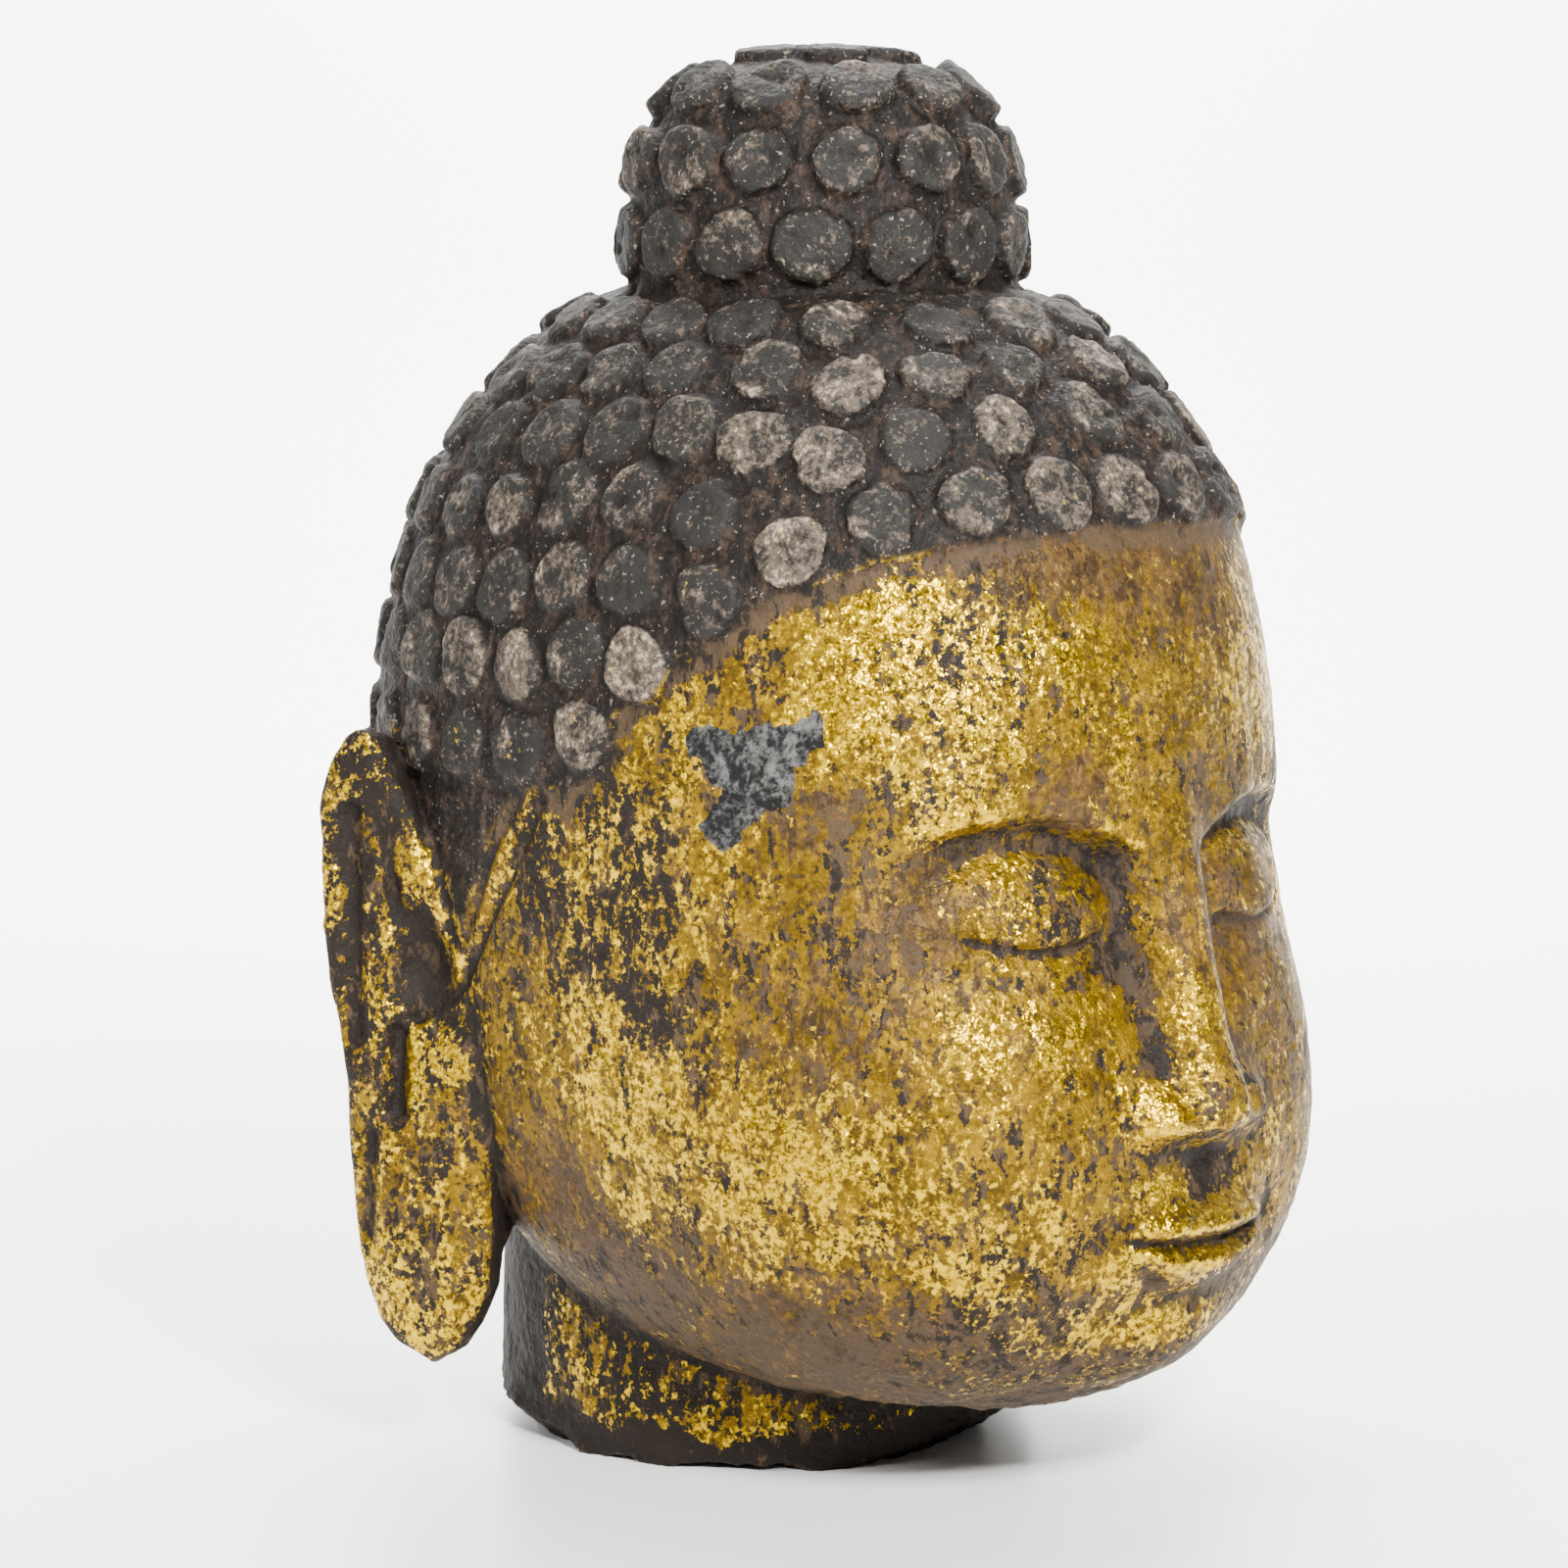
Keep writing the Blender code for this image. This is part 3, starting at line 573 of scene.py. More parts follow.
def spread(loose, fixed, rounds=60, ease=0.2):
    """Moves loose curls a little apart, round after round, where they stand closer than the pitch."""
    wanted = 0.97 * CURL_PITCH
    for _ in range(rounds):
        points = skull_point(loose[:, 0], loose[:, 1])
        others = np.concatenate([points, fixed])
        away = points[:, None, :] - others[None, :, :]
        distance = np.linalg.norm(away, axis=2) + np.eye(len(points), len(others))
        push = np.clip(wanted - distance, 0, None) / distance
        moved = points + (away * push[:, :, None]).sum(axis=1) * ease
        middle_y = skull_sections(loose[:, 1])[2]
        loose[:, 0] = np.arctan2(moved[:, 0], -(moved[:, 1] - middle_y))
        loose[:, 1] = np.clip(moved[:, 2], NAPE_Z, CROWN_Z - 6 * MM)
        loose[:, 1] = np.maximum(loose[:, 1], hair_edge_z(loose[:, 0]) + CURL_ABOVE_EDGE)
    return loose


def knot_curls():
    """Rings of curls up the topknot, and a ring on its top."""
    curls = []
    for row, z in enumerate(KNOT_RING_HEIGHTS):
        rise = (z - KNOT_BASE_Z) / (KNOT_TOP_Z - KNOT_BASE_Z)
        radius = HEAD_MIDDLE_Y - knot_point(np.array(0.0), np.array(rise))[1]
        curls += [(turn, rise) for turn in ring_angles(2 * math.pi * radius, row % 2 / 2, 0.95 * CURL_PITCH)]
    top_angles = ring_angles(KNOT_TOP_CURLS * CURL_PITCH, 0.5)
    return np.array(curls + [(azimuth, KNOT_TOP_RING_RISE) for azimuth in top_angles])


def surface_frames(surface, azimuth, height):
    """Points of a surface and its outward normals there, from small steps along both parameters."""
    step = 1e-4
    here = surface(azimuth, height)
    normal = np.cross(surface(azimuth + step, height) - here, surface(azimuth, height + step) - here)
    return here, normal / np.linalg.norm(normal, axis=1, keepdims=True)


def curl_frames():
    """Where every curl sits and which way it faces."""
    scalp, scalp_normal = surface_frames(skull_point, *scalp_curls().T)
    knot, knot_normal = surface_frames(knot_point, *knot_curls().T)
    middle = np.array([[0.0, HEAD_MIDDLE_Y, KNOT_TOP_Z]])
    places = np.concatenate([scalp, knot, middle])
    normals = np.concatenate([scalp_normal, knot_normal, [[0.0, 0.0, 1.0]]])
    return places, normals


def curl_surfaces(places, normals):
    """Discs: each is the one rounded half section, turned round the disc's own normal.

    Its outline swells and pinches by three sine waves, and it leans, sinks and shrinks by chance.
    """
    chance = np.random.default_rng(11)
    count = len(places)
    height = PROFILE_HEIGHT * np.where(PROFILE_HEIGHT < 0, CURL_ROOT, CURL_PROUD)
    columns = 28
    turn = np.linspace(0, 2 * math.pi, columns, endpoint=False)
    lean = chance.normal(0, 0.035, (count, 3))
    normals = normals + lean
    normals /= np.linalg.norm(normals, axis=1, keepdims=True)
    level = np.cross(normals, (0.0, 0.0, 1.0)) + 1e-6 * np.array((1.0, 0, 0))
    level /= np.linalg.norm(level, axis=1, keepdims=True)
    upward = np.cross(normals, level)
    phase = chance.uniform(0, 2 * math.pi, (count, 3))
    outline = 1 + 0.06 * np.sin(2 * turn + phase[:, :1]) + 0.04 * np.sin(3 * turn + phase[:, 1:2])
    outline = outline + 0.018 * np.sin(7 * turn + phase[:, 2:])
    size = CURL_RADIUS * chance.uniform(0.86, 0.99, count)
    sink = chance.uniform(-0.7, 0.0, count) * MM
    across = size[:, None, None] * PROFILE_REACH[None, :, None] * outline[:, None, :]
    ways = level[:, None, None] * np.cos(turn)[:, None] + upward[:, None, None] * np.sin(turn)[:, None]
    lifted = (height[None, :] + sink[:, None])[:, :, None, None] * normals[:, None, None, :]
    return places[:, None, None, :] + across[..., None] * ways + lifted


def closed_skin(points):
    """Vertices and faces of rings of points: quads between rings, and a fan at each end to its middle."""
    rows, columns = points.shape[:2]
    index = np.arange(rows * columns).reshape(rows, columns)
    beside = np.roll(index, -1, axis=1)
    quads = np.stack([index[:-1], beside[:-1], beside[1:], index[1:]], axis=-1).reshape(-1, 4)
    low, high = rows * columns, rows * columns + 1
    bottom = np.stack([beside[0], index[0], np.full(columns, low)], axis=-1)
    top = np.stack([index[-1], beside[-1], np.full(columns, high)], axis=-1)
    ends = np.stack([points[0].mean(axis=0), points[-1].mean(axis=0)])
    return np.concatenate([points.reshape(-1, 3), ends]), quads.tolist() + bottom.tolist() + top.tolist()


def applied(thing):
    """Bakes the object's modifiers into its mesh."""
    graph = bpy.context.evaluated_depsgraph_get()
    mesh = bpy.data.meshes.new_from_object(thing.evaluated_get(graph))
    thing.modifiers.clear()
    old, thing.data = thing.data, mesh
    bpy.data.meshes.remove(old)


def vectors_of(items, name):
    """One vector of each item of a mesh, as rows of x, y, z."""
    flat = np.empty(len(items) * 3, np.float32)
    items.foreach_get(name, flat)
    return flat.reshape(-1, 3).astype(float)


def coordinates(mesh):
    """Where each vertex is."""
    return vectors_of(mesh.vertices, "co")


def vertex_normals(mesh):
    """Which way the surface faces at each vertex."""
    return vectors_of(mesh.vertex_normals, "vector")


def move_vertices(mesh, points):
    """Puts the vertices at these points."""
    mesh.vertices.foreach_set("co", points.astype(np.float32).ravel())
    mesh.update()


def fused_stone(places, normals):
    """All the closed surfaces as one mesh, fused by a voxel remesh whose steps are then smoothed away."""
    surfaces = [head_surface(), knot_surface(), ear_surface(1), ear_surface(-1), neck_surface()]
    surfaces += list(curl_surfaces(places, normals))
    vertices, faces, passed = [], [], 0
    for points in surfaces:
        own_vertices, own_faces = closed_skin(points)
        vertices.append(own_vertices)
        faces += [[corner + passed for corner in face] for face in own_faces]
        passed += len(own_vertices)
    mesh = bpy.data.meshes.new("carved_head")
    mesh.from_pydata(np.concatenate(vertices).tolist(), [], faces)
    stone = bpy.data.objects.new("carved_head", mesh)
    bpy.context.scene.collection.objects.link(stone)
    fuse = stone.modifiers.new("fuse", "REMESH")
    fuse.mode = "VOXEL"
    fuse.voxel_size = VOXEL
    settle = stone.modifiers.new("settle", "SMOOTH")
    settle.factor = 0.5
    settle.iterations = 2
    applied(stone)
    return stone


def hair_share(points):
    """1 on the hair and its points, 0 on the skin, with a ragged edge a millimetre or two wide."""
    x, y, z = points.T
    azimuth = np.arctan2(x, -(y - skull_sections(z)[2]))
    ragged = layered_noise(points, (1.5 * MM, 9, 5), (0.6 * MM, 3, 6))
    slant = y - HAIR_POINT_Y - HAIR_POINT_SLANT * (HAIR_OVER_EAR_Z - z)
    point = np.minimum(slant, z - HAIR_POINT_Z)
    return smooth_step(-1 * MM, 1.5 * MM, np.maximum(z - hair_edge_z(azimuth), point) + ragged)


def ear_share(points):
    """1 on the ears: within their outline and close to their flat, but not the hair behind their tips."""
    x, y, z = points.T
    from_rear = np.stack([np.abs(x), y, z], axis=1) - EAR_REAR
    depth, along = from_rear @ EAR_OUTWARD, from_rear @ EAR_WAY
    rear, front = ear_outline(z)
    inside = (along > rear - 3 * MM) & (along < front + 1.5 * MM) & (z < EAR_TOP_Z + 1 * MM)
    inside &= np.abs(depth + EAR_THICKNESS / 2) < 14 * MM
    behind_tip = (z >= 150 * MM) & (along <= rear + 6 * MM) & (depth <= -10 * MM)
    return (inside & ~behind_tip).astype(float)


def furrowed(points):
    """Depth of the furrows in front of both ears, in mm, from each point's distance to the nearest run."""
    folded = np.stack([-np.abs(points[:, 0]), points[:, 1], points[:, 2]], axis=1) / MM
    depth = np.zeros(len(points))
    for corners, half_width, full_depth in FURROWS:
        for start, end in zip(corners[:-1], corners[1:]):
            away = distance_to_run(folded, start, end)
            depth = np.maximum(depth, full_depth * fade(away, half_width))
    return depth


def roughen(stone):
    """Moves each point along its normal by chisel waves, dents, pits and furrows. The break is roughest."""
    mesh = stone.data
    points, normals = coordinates(mesh), vertex_normals(mesh)
    hair = hair_share(points)
    broken = smooth_step(0.25, -0.2, normals[:, 2]) * smooth_step(30 * MM, 14 * MM, points[:, 2])
    wave = layered_noise(points, (0.4, 17, 1), (0.22, 7, 2))
    grit = layered_noise(points, (1.0, 3.2, 3), (0.7, 1.9, 4))
    pits = smooth_step(0.35, 0.8, lattice_noise(points, 4.3 * MM, 9))
    shift = wave + grit * (0.12 + 0.2 * hair) - (0.35 + 0.4 * hair) * pits - furrowed(points)
    splits = layered_noise(points, (1.7, 10, 7), (0.9, 4.5, 8), (0.4, 2.2, 10))
    shift = shift * (1 - broken) + splits * broken
    points = points + normals * (shift * MM)[:, None]
    points[points[:, 2] < 0.35 * MM, 2] = 0.0
    move_vertices(mesh, points)


def thin_out(stone):
    """Leaves the wanted number of triangles, fewest where the form is flattest, inside the solid's box."""
    thinned = stone.modifiers.new("fewer facets", "DECIMATE")
    thinned.ratio = TRIANGLES / (2 * len(stone.data.polygons))
    applied(stone)
    move_vertices(stone.data, np.clip(coordinates(stone.data), *np.array(CAD_BOX)))


def neighbour_mean(values, edges, count):
    """The mean of each vertex's neighbours, from the two ends of every edge."""
    first, second = edges
    ends = np.concatenate([first, second])
    others = np.concatenate([second, first])
    number = np.maximum(np.bincount(ends, minlength=count), 1)
    return np.bincount(ends, weights=values[others], minlength=count) / number


def hollowness(mesh, rounds):
    """How far each vertex lies below its averaged surroundings along its normal, in mm."""
    flat = np.empty(len(mesh.edges) * 2, np.int32)
    mesh.edges.foreach_get("vertices", flat)
    edges = flat.reshape(-1, 2).T
    points, normals = coordinates(mesh), vertex_normals(mesh)
    spread_points = points.copy()
    for _ in range(rounds):
        for axis in range(3):
            spread_points[:, axis] = neighbour_mean(spread_points[:, axis], edges, len(points))
    return ((spread_points - points) * normals).sum(axis=1) / MM


def nearest_curl(points, places):
    """For each point, the number of the closest curl and the distance to its middle."""
    squares = (points**2).sum(axis=1)[:, None] + (places**2).sum(axis=1) - 2 * points @ places.T
    nearest = squares.argmin(axis=1)
    return nearest, np.sqrt(np.maximum(squares[np.arange(len(points)), nearest], 0.0))


def paint(mesh, name, values):
    """Stores one number a vertex, held between 0 and 1, under a name that the material reads."""
    layer = mesh.attributes.new(name, "FLOAT", "POINT")
    layer.data.foreach_set("value", np.clip(values, 0.0, 1.0).astype(np.float32))


def nearness(points, places):
    """The sum of soft round spots at these places, each fading out over its own reach."""
    total = np.zeros(len(points))
    for x, y, z, reach, strength in places:
        away = np.linalg.norm(points - np.array((x, y, z)) * MM, axis=1)
        total += strength * fade(away, reach * MM)
    return total


def scarred(points):
    """1 inside the flaked-off scars, falling to 0 over a millimetre past their ragged outlines."""
    depths = [half_width - distance_to_run(points / MM, start, end) for start, end, half_width in SCARS]
    ragged = layered_noise(points, (2.4, 6, 31), (1.2, 2.6, 32))
    return smooth_step(-0.8, 0.8, np.max(depths, axis=0) + ragged)


def slit_shade_lines(points):
    """Painted shade: 1 along the lids' edges and between the lips, fading out a millimetre to either side.
    """
    side, z = np.abs(points[:, 0]), points[:, 2]
    lid = fade(z - lid_edge_z(side) + SLIT_DROP, 1.1 * MM)
    lid = lid * smooth_step(-1 * MM, 3 * MM, EYE_WIDTH / 2 - np.abs(side - EYE_X))
    outward = side / HALF_MOUTH
    lips = fade(z - MOUTH_Z - PARTING_RISE * outward**2, 1.1 * MM)
    lips = lips * (1 - smooth_step(0.9, 1.1, outward))
    return np.maximum(lid, lips) * smooth_step(-40 * MM, -60 * MM, points[:, 1])


def rubbed_curls(above_edge):
    """How rubbed each curl is: by chance, and less the higher it sits above the hairline."""
    rubbed = np.random.default_rng(21).uniform(0, 1, len(above_edge)) ** 1.7
    return rubbed * (0.45 + 0.55 * smooth_step(62 * MM, 25 * MM, above_edge))


def never_gilt(points, facing, ear):
    """1 on the nape, the backs of the ears and the ragged rim of the break, where there is no leaf."""
    x, y, z = points.T
    nape = smooth_step(30 * MM, 66 * MM, y) * smooth_step(89 * MM, 54 * MM, z)
    back_of_ear = ear * smooth_step(-0.1, 0.3, -np.sign(x) * facing[:, 0])
    from_axis = np.hypot(x / NECK_HALF_WIDTH, (y - NECK_MIDDLE_Y) / NECK_HALF_DEPTH)
    ragged_edge = z - break_height(x, y) + 4 * MM * lattice_noise(points, 8 * MM, 12)
    broken = smooth_step(8 * MM, 3 * MM, ragged_edge) * smooth_step(1.15, 1.05, from_axis)
    return np.maximum.reduce([nape * (1 - ear), back_of_ear, broken])


def add_wear(stone, places, normals):
    """Works out where hair, gold, grime with its painted shade, scars and rubbed curls are, and where shade
    and highlight are painted, and stores each on the mesh.
    """
    mesh = stone.data
    points, facing = coordinates(mesh), vertex_normals(mesh)
    ear = ear_share(points)
    number, away = nearest_curl(points, places)
    own_disc = smooth_step(1.12 * CURL_RADIUS, 1.02 * CURL_RADIUS, away)
    hair = np.maximum(hair_share(points), own_disc) * (1 - ear)
    proud = ((points - places[number]) * normals[number]).sum(axis=1) / MM
    top = smooth_step(1.3, 2.3, proud) * hair
    above_edge = places[:, 2] - hair_edge_z(np.arctan2(places[:, 0], HEAD_MIDDLE_Y - places[:, 1]))
    # The leaf is thin in a patchy band below the hair in front. Under the jaw, the faces turned down are
    # painted shade
    under_hair = np.clip(hair_share(points + (0, 0, 4.5 * MM)) - hair, 0, 1) * (1 - ear)
    under_hair *= smooth_step(-0.5, 0.4, lattice_noise(points, 11 * MM, 33))
    under_hair *= smooth_step(40 * MM, 10 * MM, points[:, 1])
    shade_under_jaw = smooth_step(-0.1, -0.7, facing[:, 2]) * smooth_step(76 * MM, 56 * MM, points[:, 2])
    upper_ear = ear * smooth_step(50 * MM, 90 * MM, points[:, 2])
    hollows = [2.0 * hollowness(mesh, 3), 0.55 * hollowness(mesh, 24), slit_shade_lines(points)]
    wear = {
        "hair": hair,
        # Bare places with no leaf, and some painted shade under the jaw
        "bare_and_shade": np.maximum.reduce([never_gilt(points, facing, ear), 0.3 * under_hair, 0.17 * shade_under_jaw]),
        "curl_top": top,
        "rubbed": rubbed_curls(above_edge)[number] * top,
        # Grime and painted shade in the hollows, and painted shade along the slits of the lids and lips
        "hollow": np.maximum.reduce(hollows),
        "edge": -0.9 * hollowness(mesh, 6),
        # Bright leaf, set where the highlights fall, partly as painted highlight
        "bright": nearness(points, BRIGHT_AND_HIGHLIGHT_PLACES),
        # Black lacquer, and painted shade under the nose, by the jaw, at the neck's foot and on the far
        # cheek
        "black": np.minimum(nearness(points, BLACK_AND_SHADE_PLACES), 2) / 2 + 0.3 * upper_ear,
        # Brown ground, and painted shade under the jaw and on the far side of the face
        "brown": nearness(points, BROWN_AND_SHADE_PLACES) + 0.9 * under_hair + 0.4 * shade_under_jaw,
        "scar": scarred(points),
        "front_row": smooth_step(13 * MM, 5 * MM, above_edge)[number] * top,
    }
    for name, values in wear.items():
        paint(mesh, name, values)


def linear(hex_colour):
    """An sRGB hex colour as linear red, green, blue and alpha."""
    parts = [int(hex_colour[i : i + 2], 16) / 255 for i in (1, 3, 5)]
    parts = [p / 12.92 if p <= 0.04045 else ((p + 0.055) / 1.055) ** 2.4 for p in parts]
    return (*parts, 1.0)


def add_node(tree, kind, inputs=None, **settings):
    """Adds one node. inputs maps a socket's name or number to a value or to another node's output."""
    made = tree.nodes.new(kind)
    for name, value in settings.items():
        setattr(made, name, value)
    for socket, value in (inputs or {}).items():
        if isinstance(value, bpy.types.NodeSocket):
            tree.links.new(value, made.inputs[socket])
        else:
            made.inputs[socket].default_value = value
    return made


def gilt_lacquered_stone():
    """Carved stone, coated with black lacquer and gilded with oil-laid gold leaf, long since rubbed.

    Lacquer is dark and half glossy, old leaf is a dull mustard, and the leaf that is left whole is bright.
    Rubbed places show brown ground and pale stone, and grime fills the hollows, darkened further by painted
    shade. Some black and brown is painted shade too, and the brightest leaf is partly painted highlight.
    """
    material = bpy.data.materials.new("gold_leaf_on_black_lacquered_stone")
    material.use_nodes = True
    tree = material.node_tree
    shader = tree.nodes["Principled BSDF"]
    place = add_node(tree, "ShaderNodeTexCoord").outputs["Object"]
    streaked = add_node(tree, "ShaderNodeMapping", {"Vector": place, "Scale": (1.0, 1.0, 0.5)}).outputs[0]

    def read(name):
        """A number that was painted on the stone."""
        return add_node(tree, "ShaderNodeAttribute", attribute_name=name).outputs["Fac"]

    def noise(size, detail, roughness, distortion=0.0, vector=place):
        """Soft noise around 0.5, whose largest features have this size."""
        settings = {"Vector": vector, "Scale": 1 / size, "Detail": detail, "Roughness": roughness}
        settings["Distortion"] = distortion
        return add_node(tree, "ShaderNodeTexNoise", settings).outputs[0]

    def moved(offset, vector=place):
        """The coordinates shifted, so that one noise doesn't repeat another."""
        settings = {"Vector": vector, "Location": (offset, offset, offset)}
        return add_node(tree, "ShaderNodeMapping", settings).outputs[0]

    def maths(operation, first, second=0.0):
        """A sum, product or difference of two numbers."""
        return add_node(tree, "ShaderNodeMath", {0: first, 1: second}, operation=operation).outputs[0]

    def ramp(value, low, high):
        """0 below low, 1 above high, and an even S curve between."""
        settings = {"Value": value, "From Min": low, "From Max": high}
        return add_node(tree, "ShaderNodeMapRange", settings, interpolation_type="SMOOTHSTEP").outputs[0]

    def blend(share, first, second):
        """The first colour where share is 0, the second where it is 1."""
        settings = {"Factor": share, 6: first, 7: second}
        return add_node(tree, "ShaderNodeMix", settings, data_type="RGBA").outputs[2]

    def vectors(operation, first, second):
        """A sum or difference of two vectors, or a vector scaled by a number."""
        settings = {0: first, (3 if operation == "SCALE" else 1): second}
        return add_node(tree, "ShaderNodeVectorMath", settings, operation=operation).outputs[0]

    def weigh(*terms):
        """The sum of outputs, each times its own number."""
        total = 0.0
        for output, weight in terms:
            total = add_node(
                tree, "ShaderNodeMath", {0: output, 1: weight, 2: total}, operation="MULTIPLY_ADD"
            ).outputs[0]
        return total

    hair, bare_and_shade, top, rubbed = read("hair"), read("bare_and_shade"), read("curl_top"), read("rubbed")
    hollow, edge = read("hollow"), read("edge")
    bright, black, brown = read("bright"), read("black"), read("brown")
    scar, front_row = read("scar"), read("front_row")

    # Noises, from 24 mm patches to 1.6 mm crumbs. The streaked ones are drawn out upright
    patches = noise(24 * MM, 3, 0.55, 0.4, moved(0.7))
    flakes = noise(5 * MM, 8, 0.74, 0.4, streaked)
    crumbs = noise(1.6 * MM, 4, 0.7, 0.2, moved(0.3))
    other_flakes = noise(4.2 * MM, 8, 0.78, 0.5, moved(1.1, streaked))
    third_flakes = noise(3.6 * MM, 8, 0.74, 0.3, moved(1.9, streaked))
    mottle = noise(10 * MM, 6, 0.62, 0.5, moved(2.3))
    blotch = noise(6.5 * MM, 7, 0.72, 0.6, moved(2.9))

    # Old gilding stays except on the bare places, in the hollows and in scattered chips. Where it is taken
    # off in the hollows and at the black places, the dark that shows is partly painted shade
    chips_and_shade = weigh((flakes, 0.6), (crumbs, 0.4), (patches, 0.28), (black, -0.16), (hollow, -0.14))
    chips_and_shade = weigh((chips_and_shade, 1.0), (bare_and_shade, -0.5))
    gilding = ramp(chips_and_shade, 0.577, 0.594)
    # Bright leaf lies on it in torn scraps, gathered at the bright places as partly painted highlight
    scraps_and_highlight = weigh((other_flakes, 0.6), (crumbs, 0.4), (patches, 0.3), (bright, 0.08), (brown, -0.13))
    scraps_and_highlight = weigh((scraps_and_highlight, 1.0), (hollow, -0.10), (edge, 0.06), (black, 0.03))
    scrap = maths("MULTIPLY", ramp(scraps_and_highlight, 0.685, 0.7), gilding)

    # Where the gilding is off, black lacquer shows, or brown ground where that has gone too. Under the nose
    # and jaw, at the neck's foot and on the far side, these dark grounds are painted shade
    lacquer = blend(mottle, linear("#0d0a08"), linear("#221a14"))
    earth = blend(crumbs, linear("#2b2016"), linear("#57452f"))
    earthen = weigh((third_flakes, 1.0), (brown, 0.15), (black, -0.15), (bare_and_shade, -0.1))
    under = blend(ramp(earthen, 0.48, 0.56), lacquer, earth)
    # Old gilding is a speckled mustard, worn in places to a stained tan; at the brown places under the jaw
    # and on the far side the tan is painted shade
    speckle = ramp(weigh((mottle, 0.5), (crumbs, 0.5)), 0.36, 0.64)
    mustard = blend(speckle, linear("#443204"), linear("#886908"))
    tan = blend(speckle, linear("#33240f"), linear("#664b24"))
    stained = ramp(weigh((blotch, 0.5), (third_flakes, 0.5)), 0.5, 0.56)
    tan = blend(maths("MULTIPLY", stained, 0.75), tan, linear("#241b12"))
    worn_and_shaded_gilding = ramp(weigh((third_flakes, 0.8), (brown, 0.22), (mottle, 0.3)), 0.58, 0.68)
    mustard = blend(worn_and_shaded_gilding, mustard, tan)
    leaf = blend(ramp(crumbs, 0.36, 0.62), linear("#7f5f04"), linear("#d3ad0f"))
    gold = blend(scrap, blend(gilding, under, mustard), leaf)
    # The scars are down to grey stone
    weathered = ramp(weigh((blotch, 0.6), (crumbs, 0.4)), 0.44, 0.6)
    stone = blend(weathered, linear("#0e0e0e"), linear("#5a5957"))
    flaked = ramp(weigh((scar, 1.0), (third_flakes, 0.9)), 0.92, 0.97)
    gold = blend(flaked, gold, stone)

    # Hair: a brown crust between the discs, black lacquer on them, scuffed brown and rubbed pale
    dirt = ramp(weigh((third_flakes, 0.7), (crumbs, 0.3)), 0.47, 0.62)
    crust = blend(dirt, linear("#0f0d0b"), linear("#3b2e25"))
    disc = blend(mottle, linear("#0e0e0d"), linear("#292724"))
    scuffed = blend(crumbs, linear("#2b2520"), linear("#675a4d"))
    scuffs = ramp(weigh((blotch, 0.6), (crumbs, 0.4), (rubbed, 0.12)), 0.52, 0.62)
    disc = blend(scuffs, disc, scuffed)
    coal = blend(ramp(weigh((top, 0.6), (crumbs, 0.6)), 0.35, 0.75), crust, disc)
    rubs = weigh((blotch, 0.7), (crumbs, 0.3), (rubbed, 0.11))
    rub = maths("MULTIPLY", ramp(rubs, 0.62, 0.66), top)
    pale = blend(ramp(crumbs, 0.38, 0.66), linear("#3a322a"), linear("#978976"))
    curls = blend(rub, coal, pale)
    specks = maths("MULTIPLY", ramp(noise(1.2 * MM, 2, 0.6, 0.3, moved(4.1)), 0.65, 0.7), 0.6)
    curls = blend(specks, curls, linear("#8a8073"))
    # A few flecks of leaf have strayed on to the front row
    flecks = ramp(weigh((other_flakes, 0.7), (crumbs, 0.3), (front_row, 0.07)), 0.655, 0.67)
    curls = blend(maths("MULTIPLY", flecks, front_row), curls, leaf)

    # Dark grime lies in every hollow, thickest in the hair, and with it painted shade; along the lids' slits
    # and the lips' parting the dark is painted shade alone
    grime_and_shade = maths("MULTIPLY", hollow, weigh((hair, 0.3), (1.0, 0.55)))
    colour = blend(grime_and_shade, blend(hair, gold, curls), linear("#140f0b"))

    # Only gold shines as metal, whole leaf most. The stone's grain and grit roughen everything
    skin = maths("SUBTRACT", 1.0, hair)
    leafed = maths("MULTIPLY", skin, maths("SUBTRACT", 1.0, flaked))
    shiny = maths("MULTIPLY", scrap, leafed)
    dull = maths("MULTIPLY", gilding, leafed)
    metallic = weigh((dull, 0.55), (shiny, 0.42), (maths("MULTIPLY", dull, worn_and_shaded_gilding), -0.3))
    roughness = weigh((crumbs, 0.25), (dull, -0.14), (shiny, -0.2), (1.0, 0.52))
    grain = noise(2.6 * MM, 2, 0.5, 0.0, moved(3.1))
    grit = noise(0.8 * MM, 1, 0.5, 0.0, moved(3.7))
    height = weigh((dull, 0.06), (shiny, 0.07), (grain, 0.9), (grit, 0.22))
    bump = add_node(tree, "ShaderNodeBump", {"Strength": 1.0, "Distance": 1 * MM, "Height": height})

    # Each flake of leaf lies at its own slight tilt, which makes some glint and leaves others dark
    ripple = add_node(tree, "ShaderNodeTexNoise", {"Vector": place, "Scale": 1 / (1.1 * MM), "Detail": 2.0})
    bent = vectors("ADD", place, vectors("SCALE", ripple.outputs[1], 0.9 * MM))
    flake = add_node(tree, "ShaderNodeTexVoronoi", {"Vector": bent, "Scale": 1 / (1.3 * MM)})
    tilt = vectors("SUBTRACT", flake.outputs["Color"], (0.5, 0.5, 0.5))
    tilt = vectors("SCALE", tilt, weigh((dull, 0.15), (shiny, 0.3)))
    facing = vectors("NORMALIZE", vectors("ADD", bump.outputs[0], tilt), (0.0, 0.0, 0.0))
    # Dusty lacquer and stone reflect little, so the blacks stay deep
    shader.inputs["Specular IOR Level"].default_value = 0.15
    tree.links.new(colour, shader.inputs["Base Color"])
    tree.links.new(metallic, shader.inputs["Metallic"])
    tree.links.new(roughness, shader.inputs["Roughness"])
    tree.links.new(facing, shader.inputs["Normal"])
    return material


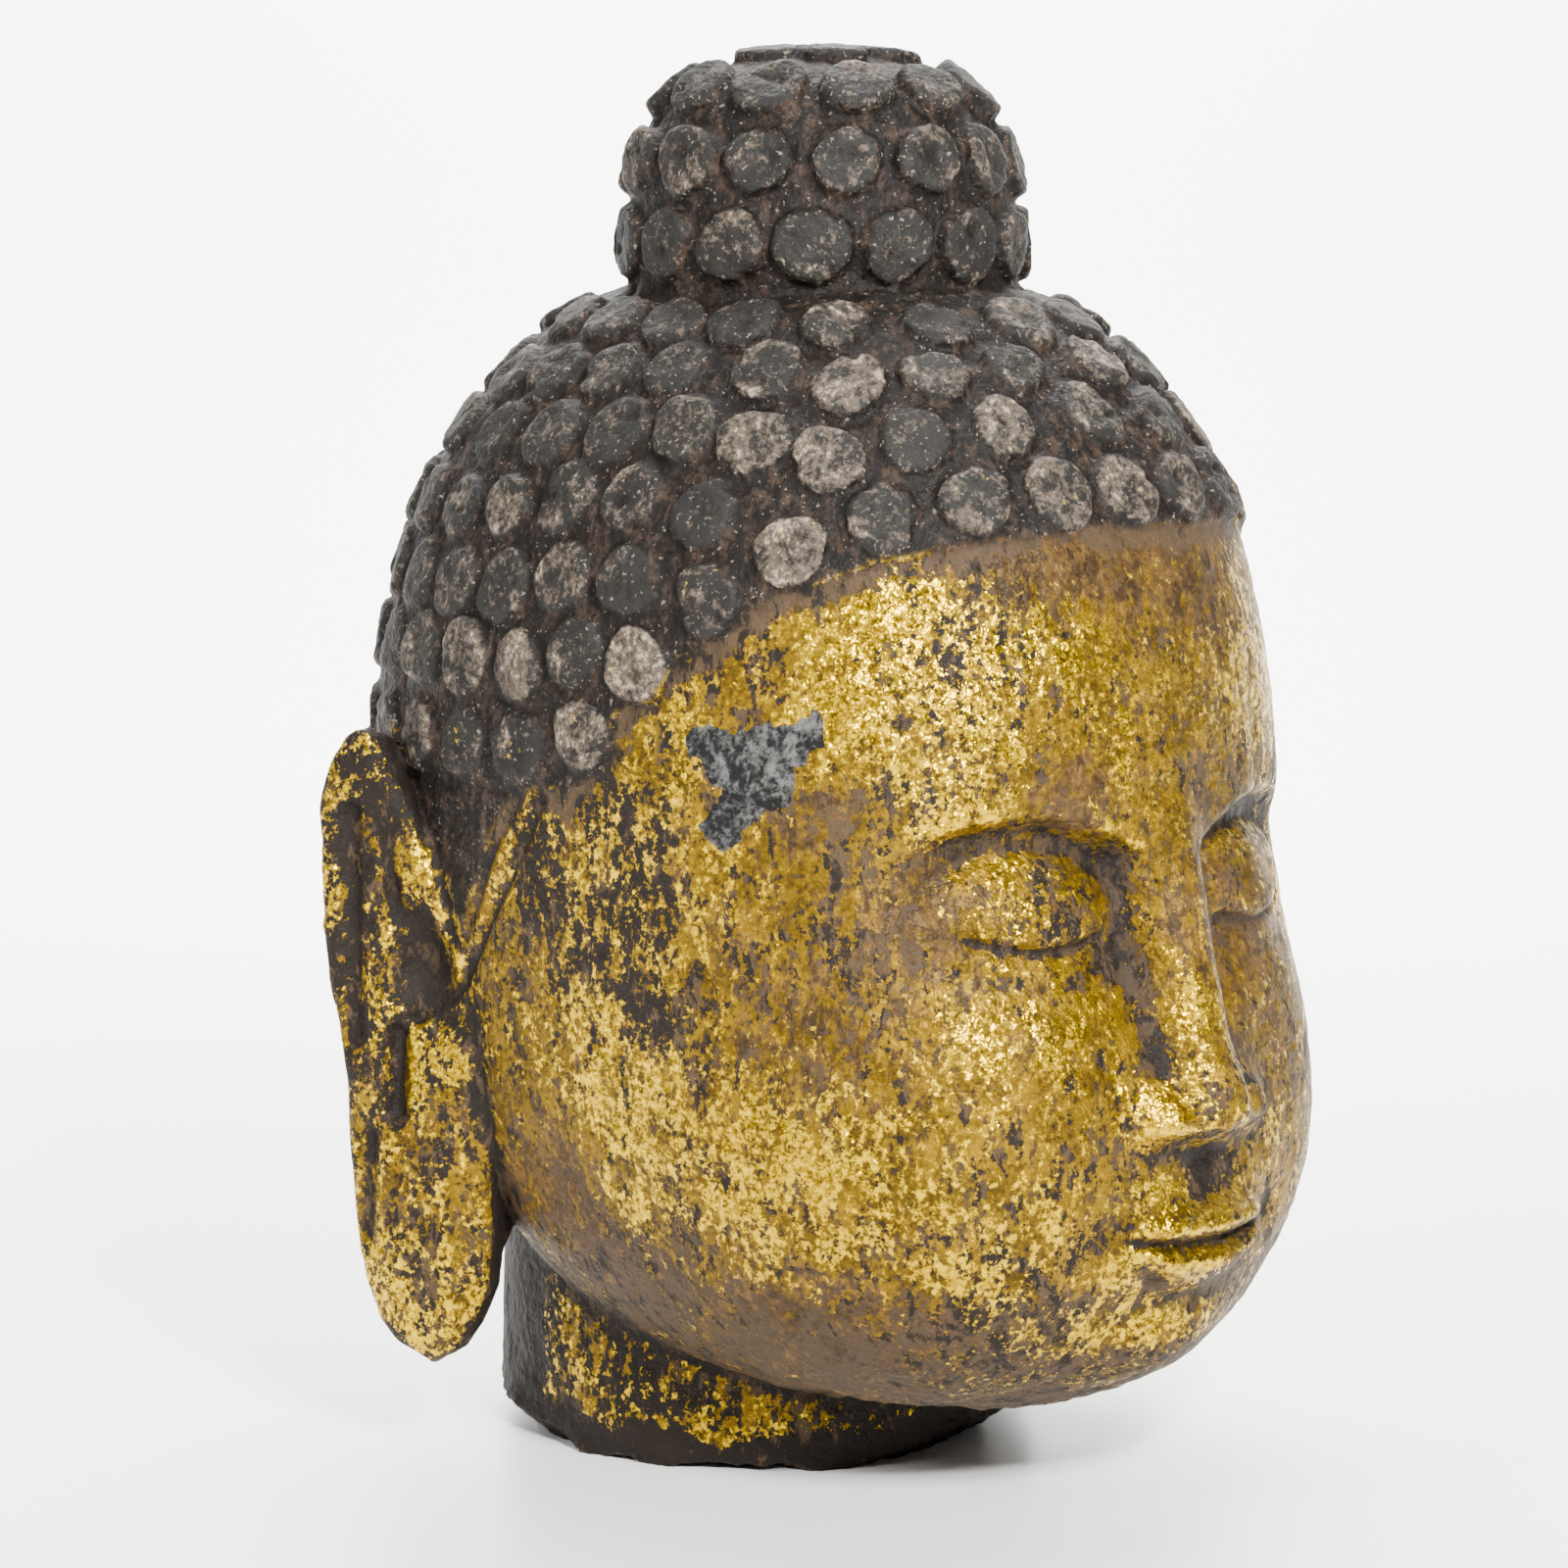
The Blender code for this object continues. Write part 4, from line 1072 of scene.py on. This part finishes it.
def make_head():
    """The whole stone, painted, riding on the root in place of its solid."""
    places, normals = curl_frames()
    stone = fused_stone(places, normals)
    roughen(stone)
    thin_out(stone)
    add_wear(stone, places, normals)
    stone.data.shade_smooth()
    stone.data.materials.append(gilt_lacquered_stone())
    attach(stone, "root")
    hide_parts("buddha_head")


def studio_paper():
    """Matt white background paper, with the faint sheen of its coating."""
    material = bpy.data.materials.new("white_background_paper")
    material.use_nodes = True
    shader = material.node_tree.nodes["Principled BSDF"]
    shader.inputs["Base Color"].default_value = linear("#fbfaf8")
    shader.inputs["Roughness"].default_value = 0.35
    return material


def make_backdrop():
    """A sweep of paper: level under the head, a quarter circle up behind it, then upright.

    It faces the camera, and its sizes are in metres.
    """
    radius, ahead, behind, half_width, wall = 0.9, 4.0, 1.2, 5.0, 3.0
    level = np.linspace(-ahead, behind, 12)
    turn = np.linspace(0.1, math.pi / 2, 16)
    upright = np.linspace(0.2, wall, 6)
    along = np.concatenate([level, behind + radius * np.sin(turn), np.full(6, behind + radius)])
    up = np.concatenate([0 * level, radius - radius * np.cos(turn), radius + upright])
    across = np.linspace(-half_width, half_width, 9)
    away = np.array((-math.sin(CAMERA_AZIMUTH), math.cos(CAMERA_AZIMUTH), 0.0))
    side = np.array((math.cos(CAMERA_AZIMUTH), math.sin(CAMERA_AZIMUTH), 0.0))
    points = along[:, None, None] * away + across[None, :, None] * side
    points[..., 2] = up[:, None]
    rows, columns = points.shape[:2]
    index = np.arange(rows * columns).reshape(rows, columns)
    corners = index[:-1, :-1], index[:-1, 1:], index[1:, 1:], index[1:, :-1]
    mesh = bpy.data.meshes.new("paper_sweep")
    quads = np.stack(corners, axis=-1).reshape(-1, 4)
    mesh.from_pydata(points.reshape(-1, 3).tolist(), [], quads.tolist())
    mesh.shade_smooth()
    mesh.materials.append(studio_paper())
    sweep = bpy.data.objects.new("paper_sweep", mesh)
    bpy.context.scene.collection.objects.link(sweep)


def aim(thing, target):
    """Turns a camera or a light, which look along their own -Z, towards a point."""
    thing.rotation_mode = "QUATERNION"
    thing.rotation_quaternion = (thing.location - target).to_track_quat("Z", "Y")


def heading(azimuth, elevation=0.0):
    """The direction that lies at these angles round from the front and upwards."""
    level = math.cos(elevation)
    return Vector((math.sin(azimuth) * level, -math.cos(azimuth) * level, math.sin(elevation)))


def make_light(name, azimuth, elevation, distance, size, power, target=(0, 0, AIM_Z)):
    """One row of LAMPS as an area light."""
    lamp = bpy.data.lights.new(name, "AREA")
    lamp.size = size
    lamp.energy = power
    light = bpy.data.objects.new(name, lamp)
    way = heading(math.radians(azimuth), math.radians(elevation))
    light.location = Vector((0, 0, AIM_Z)) + way * distance
    aim(light, Vector(target))
    bpy.context.scene.collection.objects.link(light)


def make_studio():
    """White surroundings, and the lamps.

    The key and the small, hard spark stand before the face. One lamp is by the near ear, one high
    behind the head, and one lights the paper.
    """
    world = bpy.data.worlds.new("white_room")
    world.use_nodes = True
    world.node_tree.nodes["Background"].inputs["Color"].default_value = linear("#ffffff")
    world.node_tree.nodes["Background"].inputs["Strength"].default_value = ROOM_LIGHT
    bpy.context.scene.world = world
    for lamp in LAMPS:
        make_light(*lamp)


def make_camera():
    """The camera at the photograph's angle, level side to side."""
    lens = bpy.data.cameras.new("camera")
    camera = bpy.data.objects.new("camera", lens)
    side = Vector((math.cos(CAMERA_AZIMUTH), math.sin(CAMERA_AZIMUTH), 0))
    target = side * AIM_SIDEWAYS + Vector((0, 0, AIM_Z))
    rise = CAMERA_HEIGHT - AIM_Z
    back = heading(CAMERA_AZIMUTH) * math.sqrt(CAMERA_DISTANCE**2 - rise**2)
    camera.location = target + back + Vector((0, 0, rise))
    aim(camera, target)
    lens.sensor_width = SENSOR
    lens.lens = SENSOR * CAMERA_DISTANCE / VIEW_WIDTH
    bpy.context.scene.collection.objects.link(camera)
    bpy.context.scene.camera = camera


make_camera()
make_studio()
make_backdrop()
make_head()
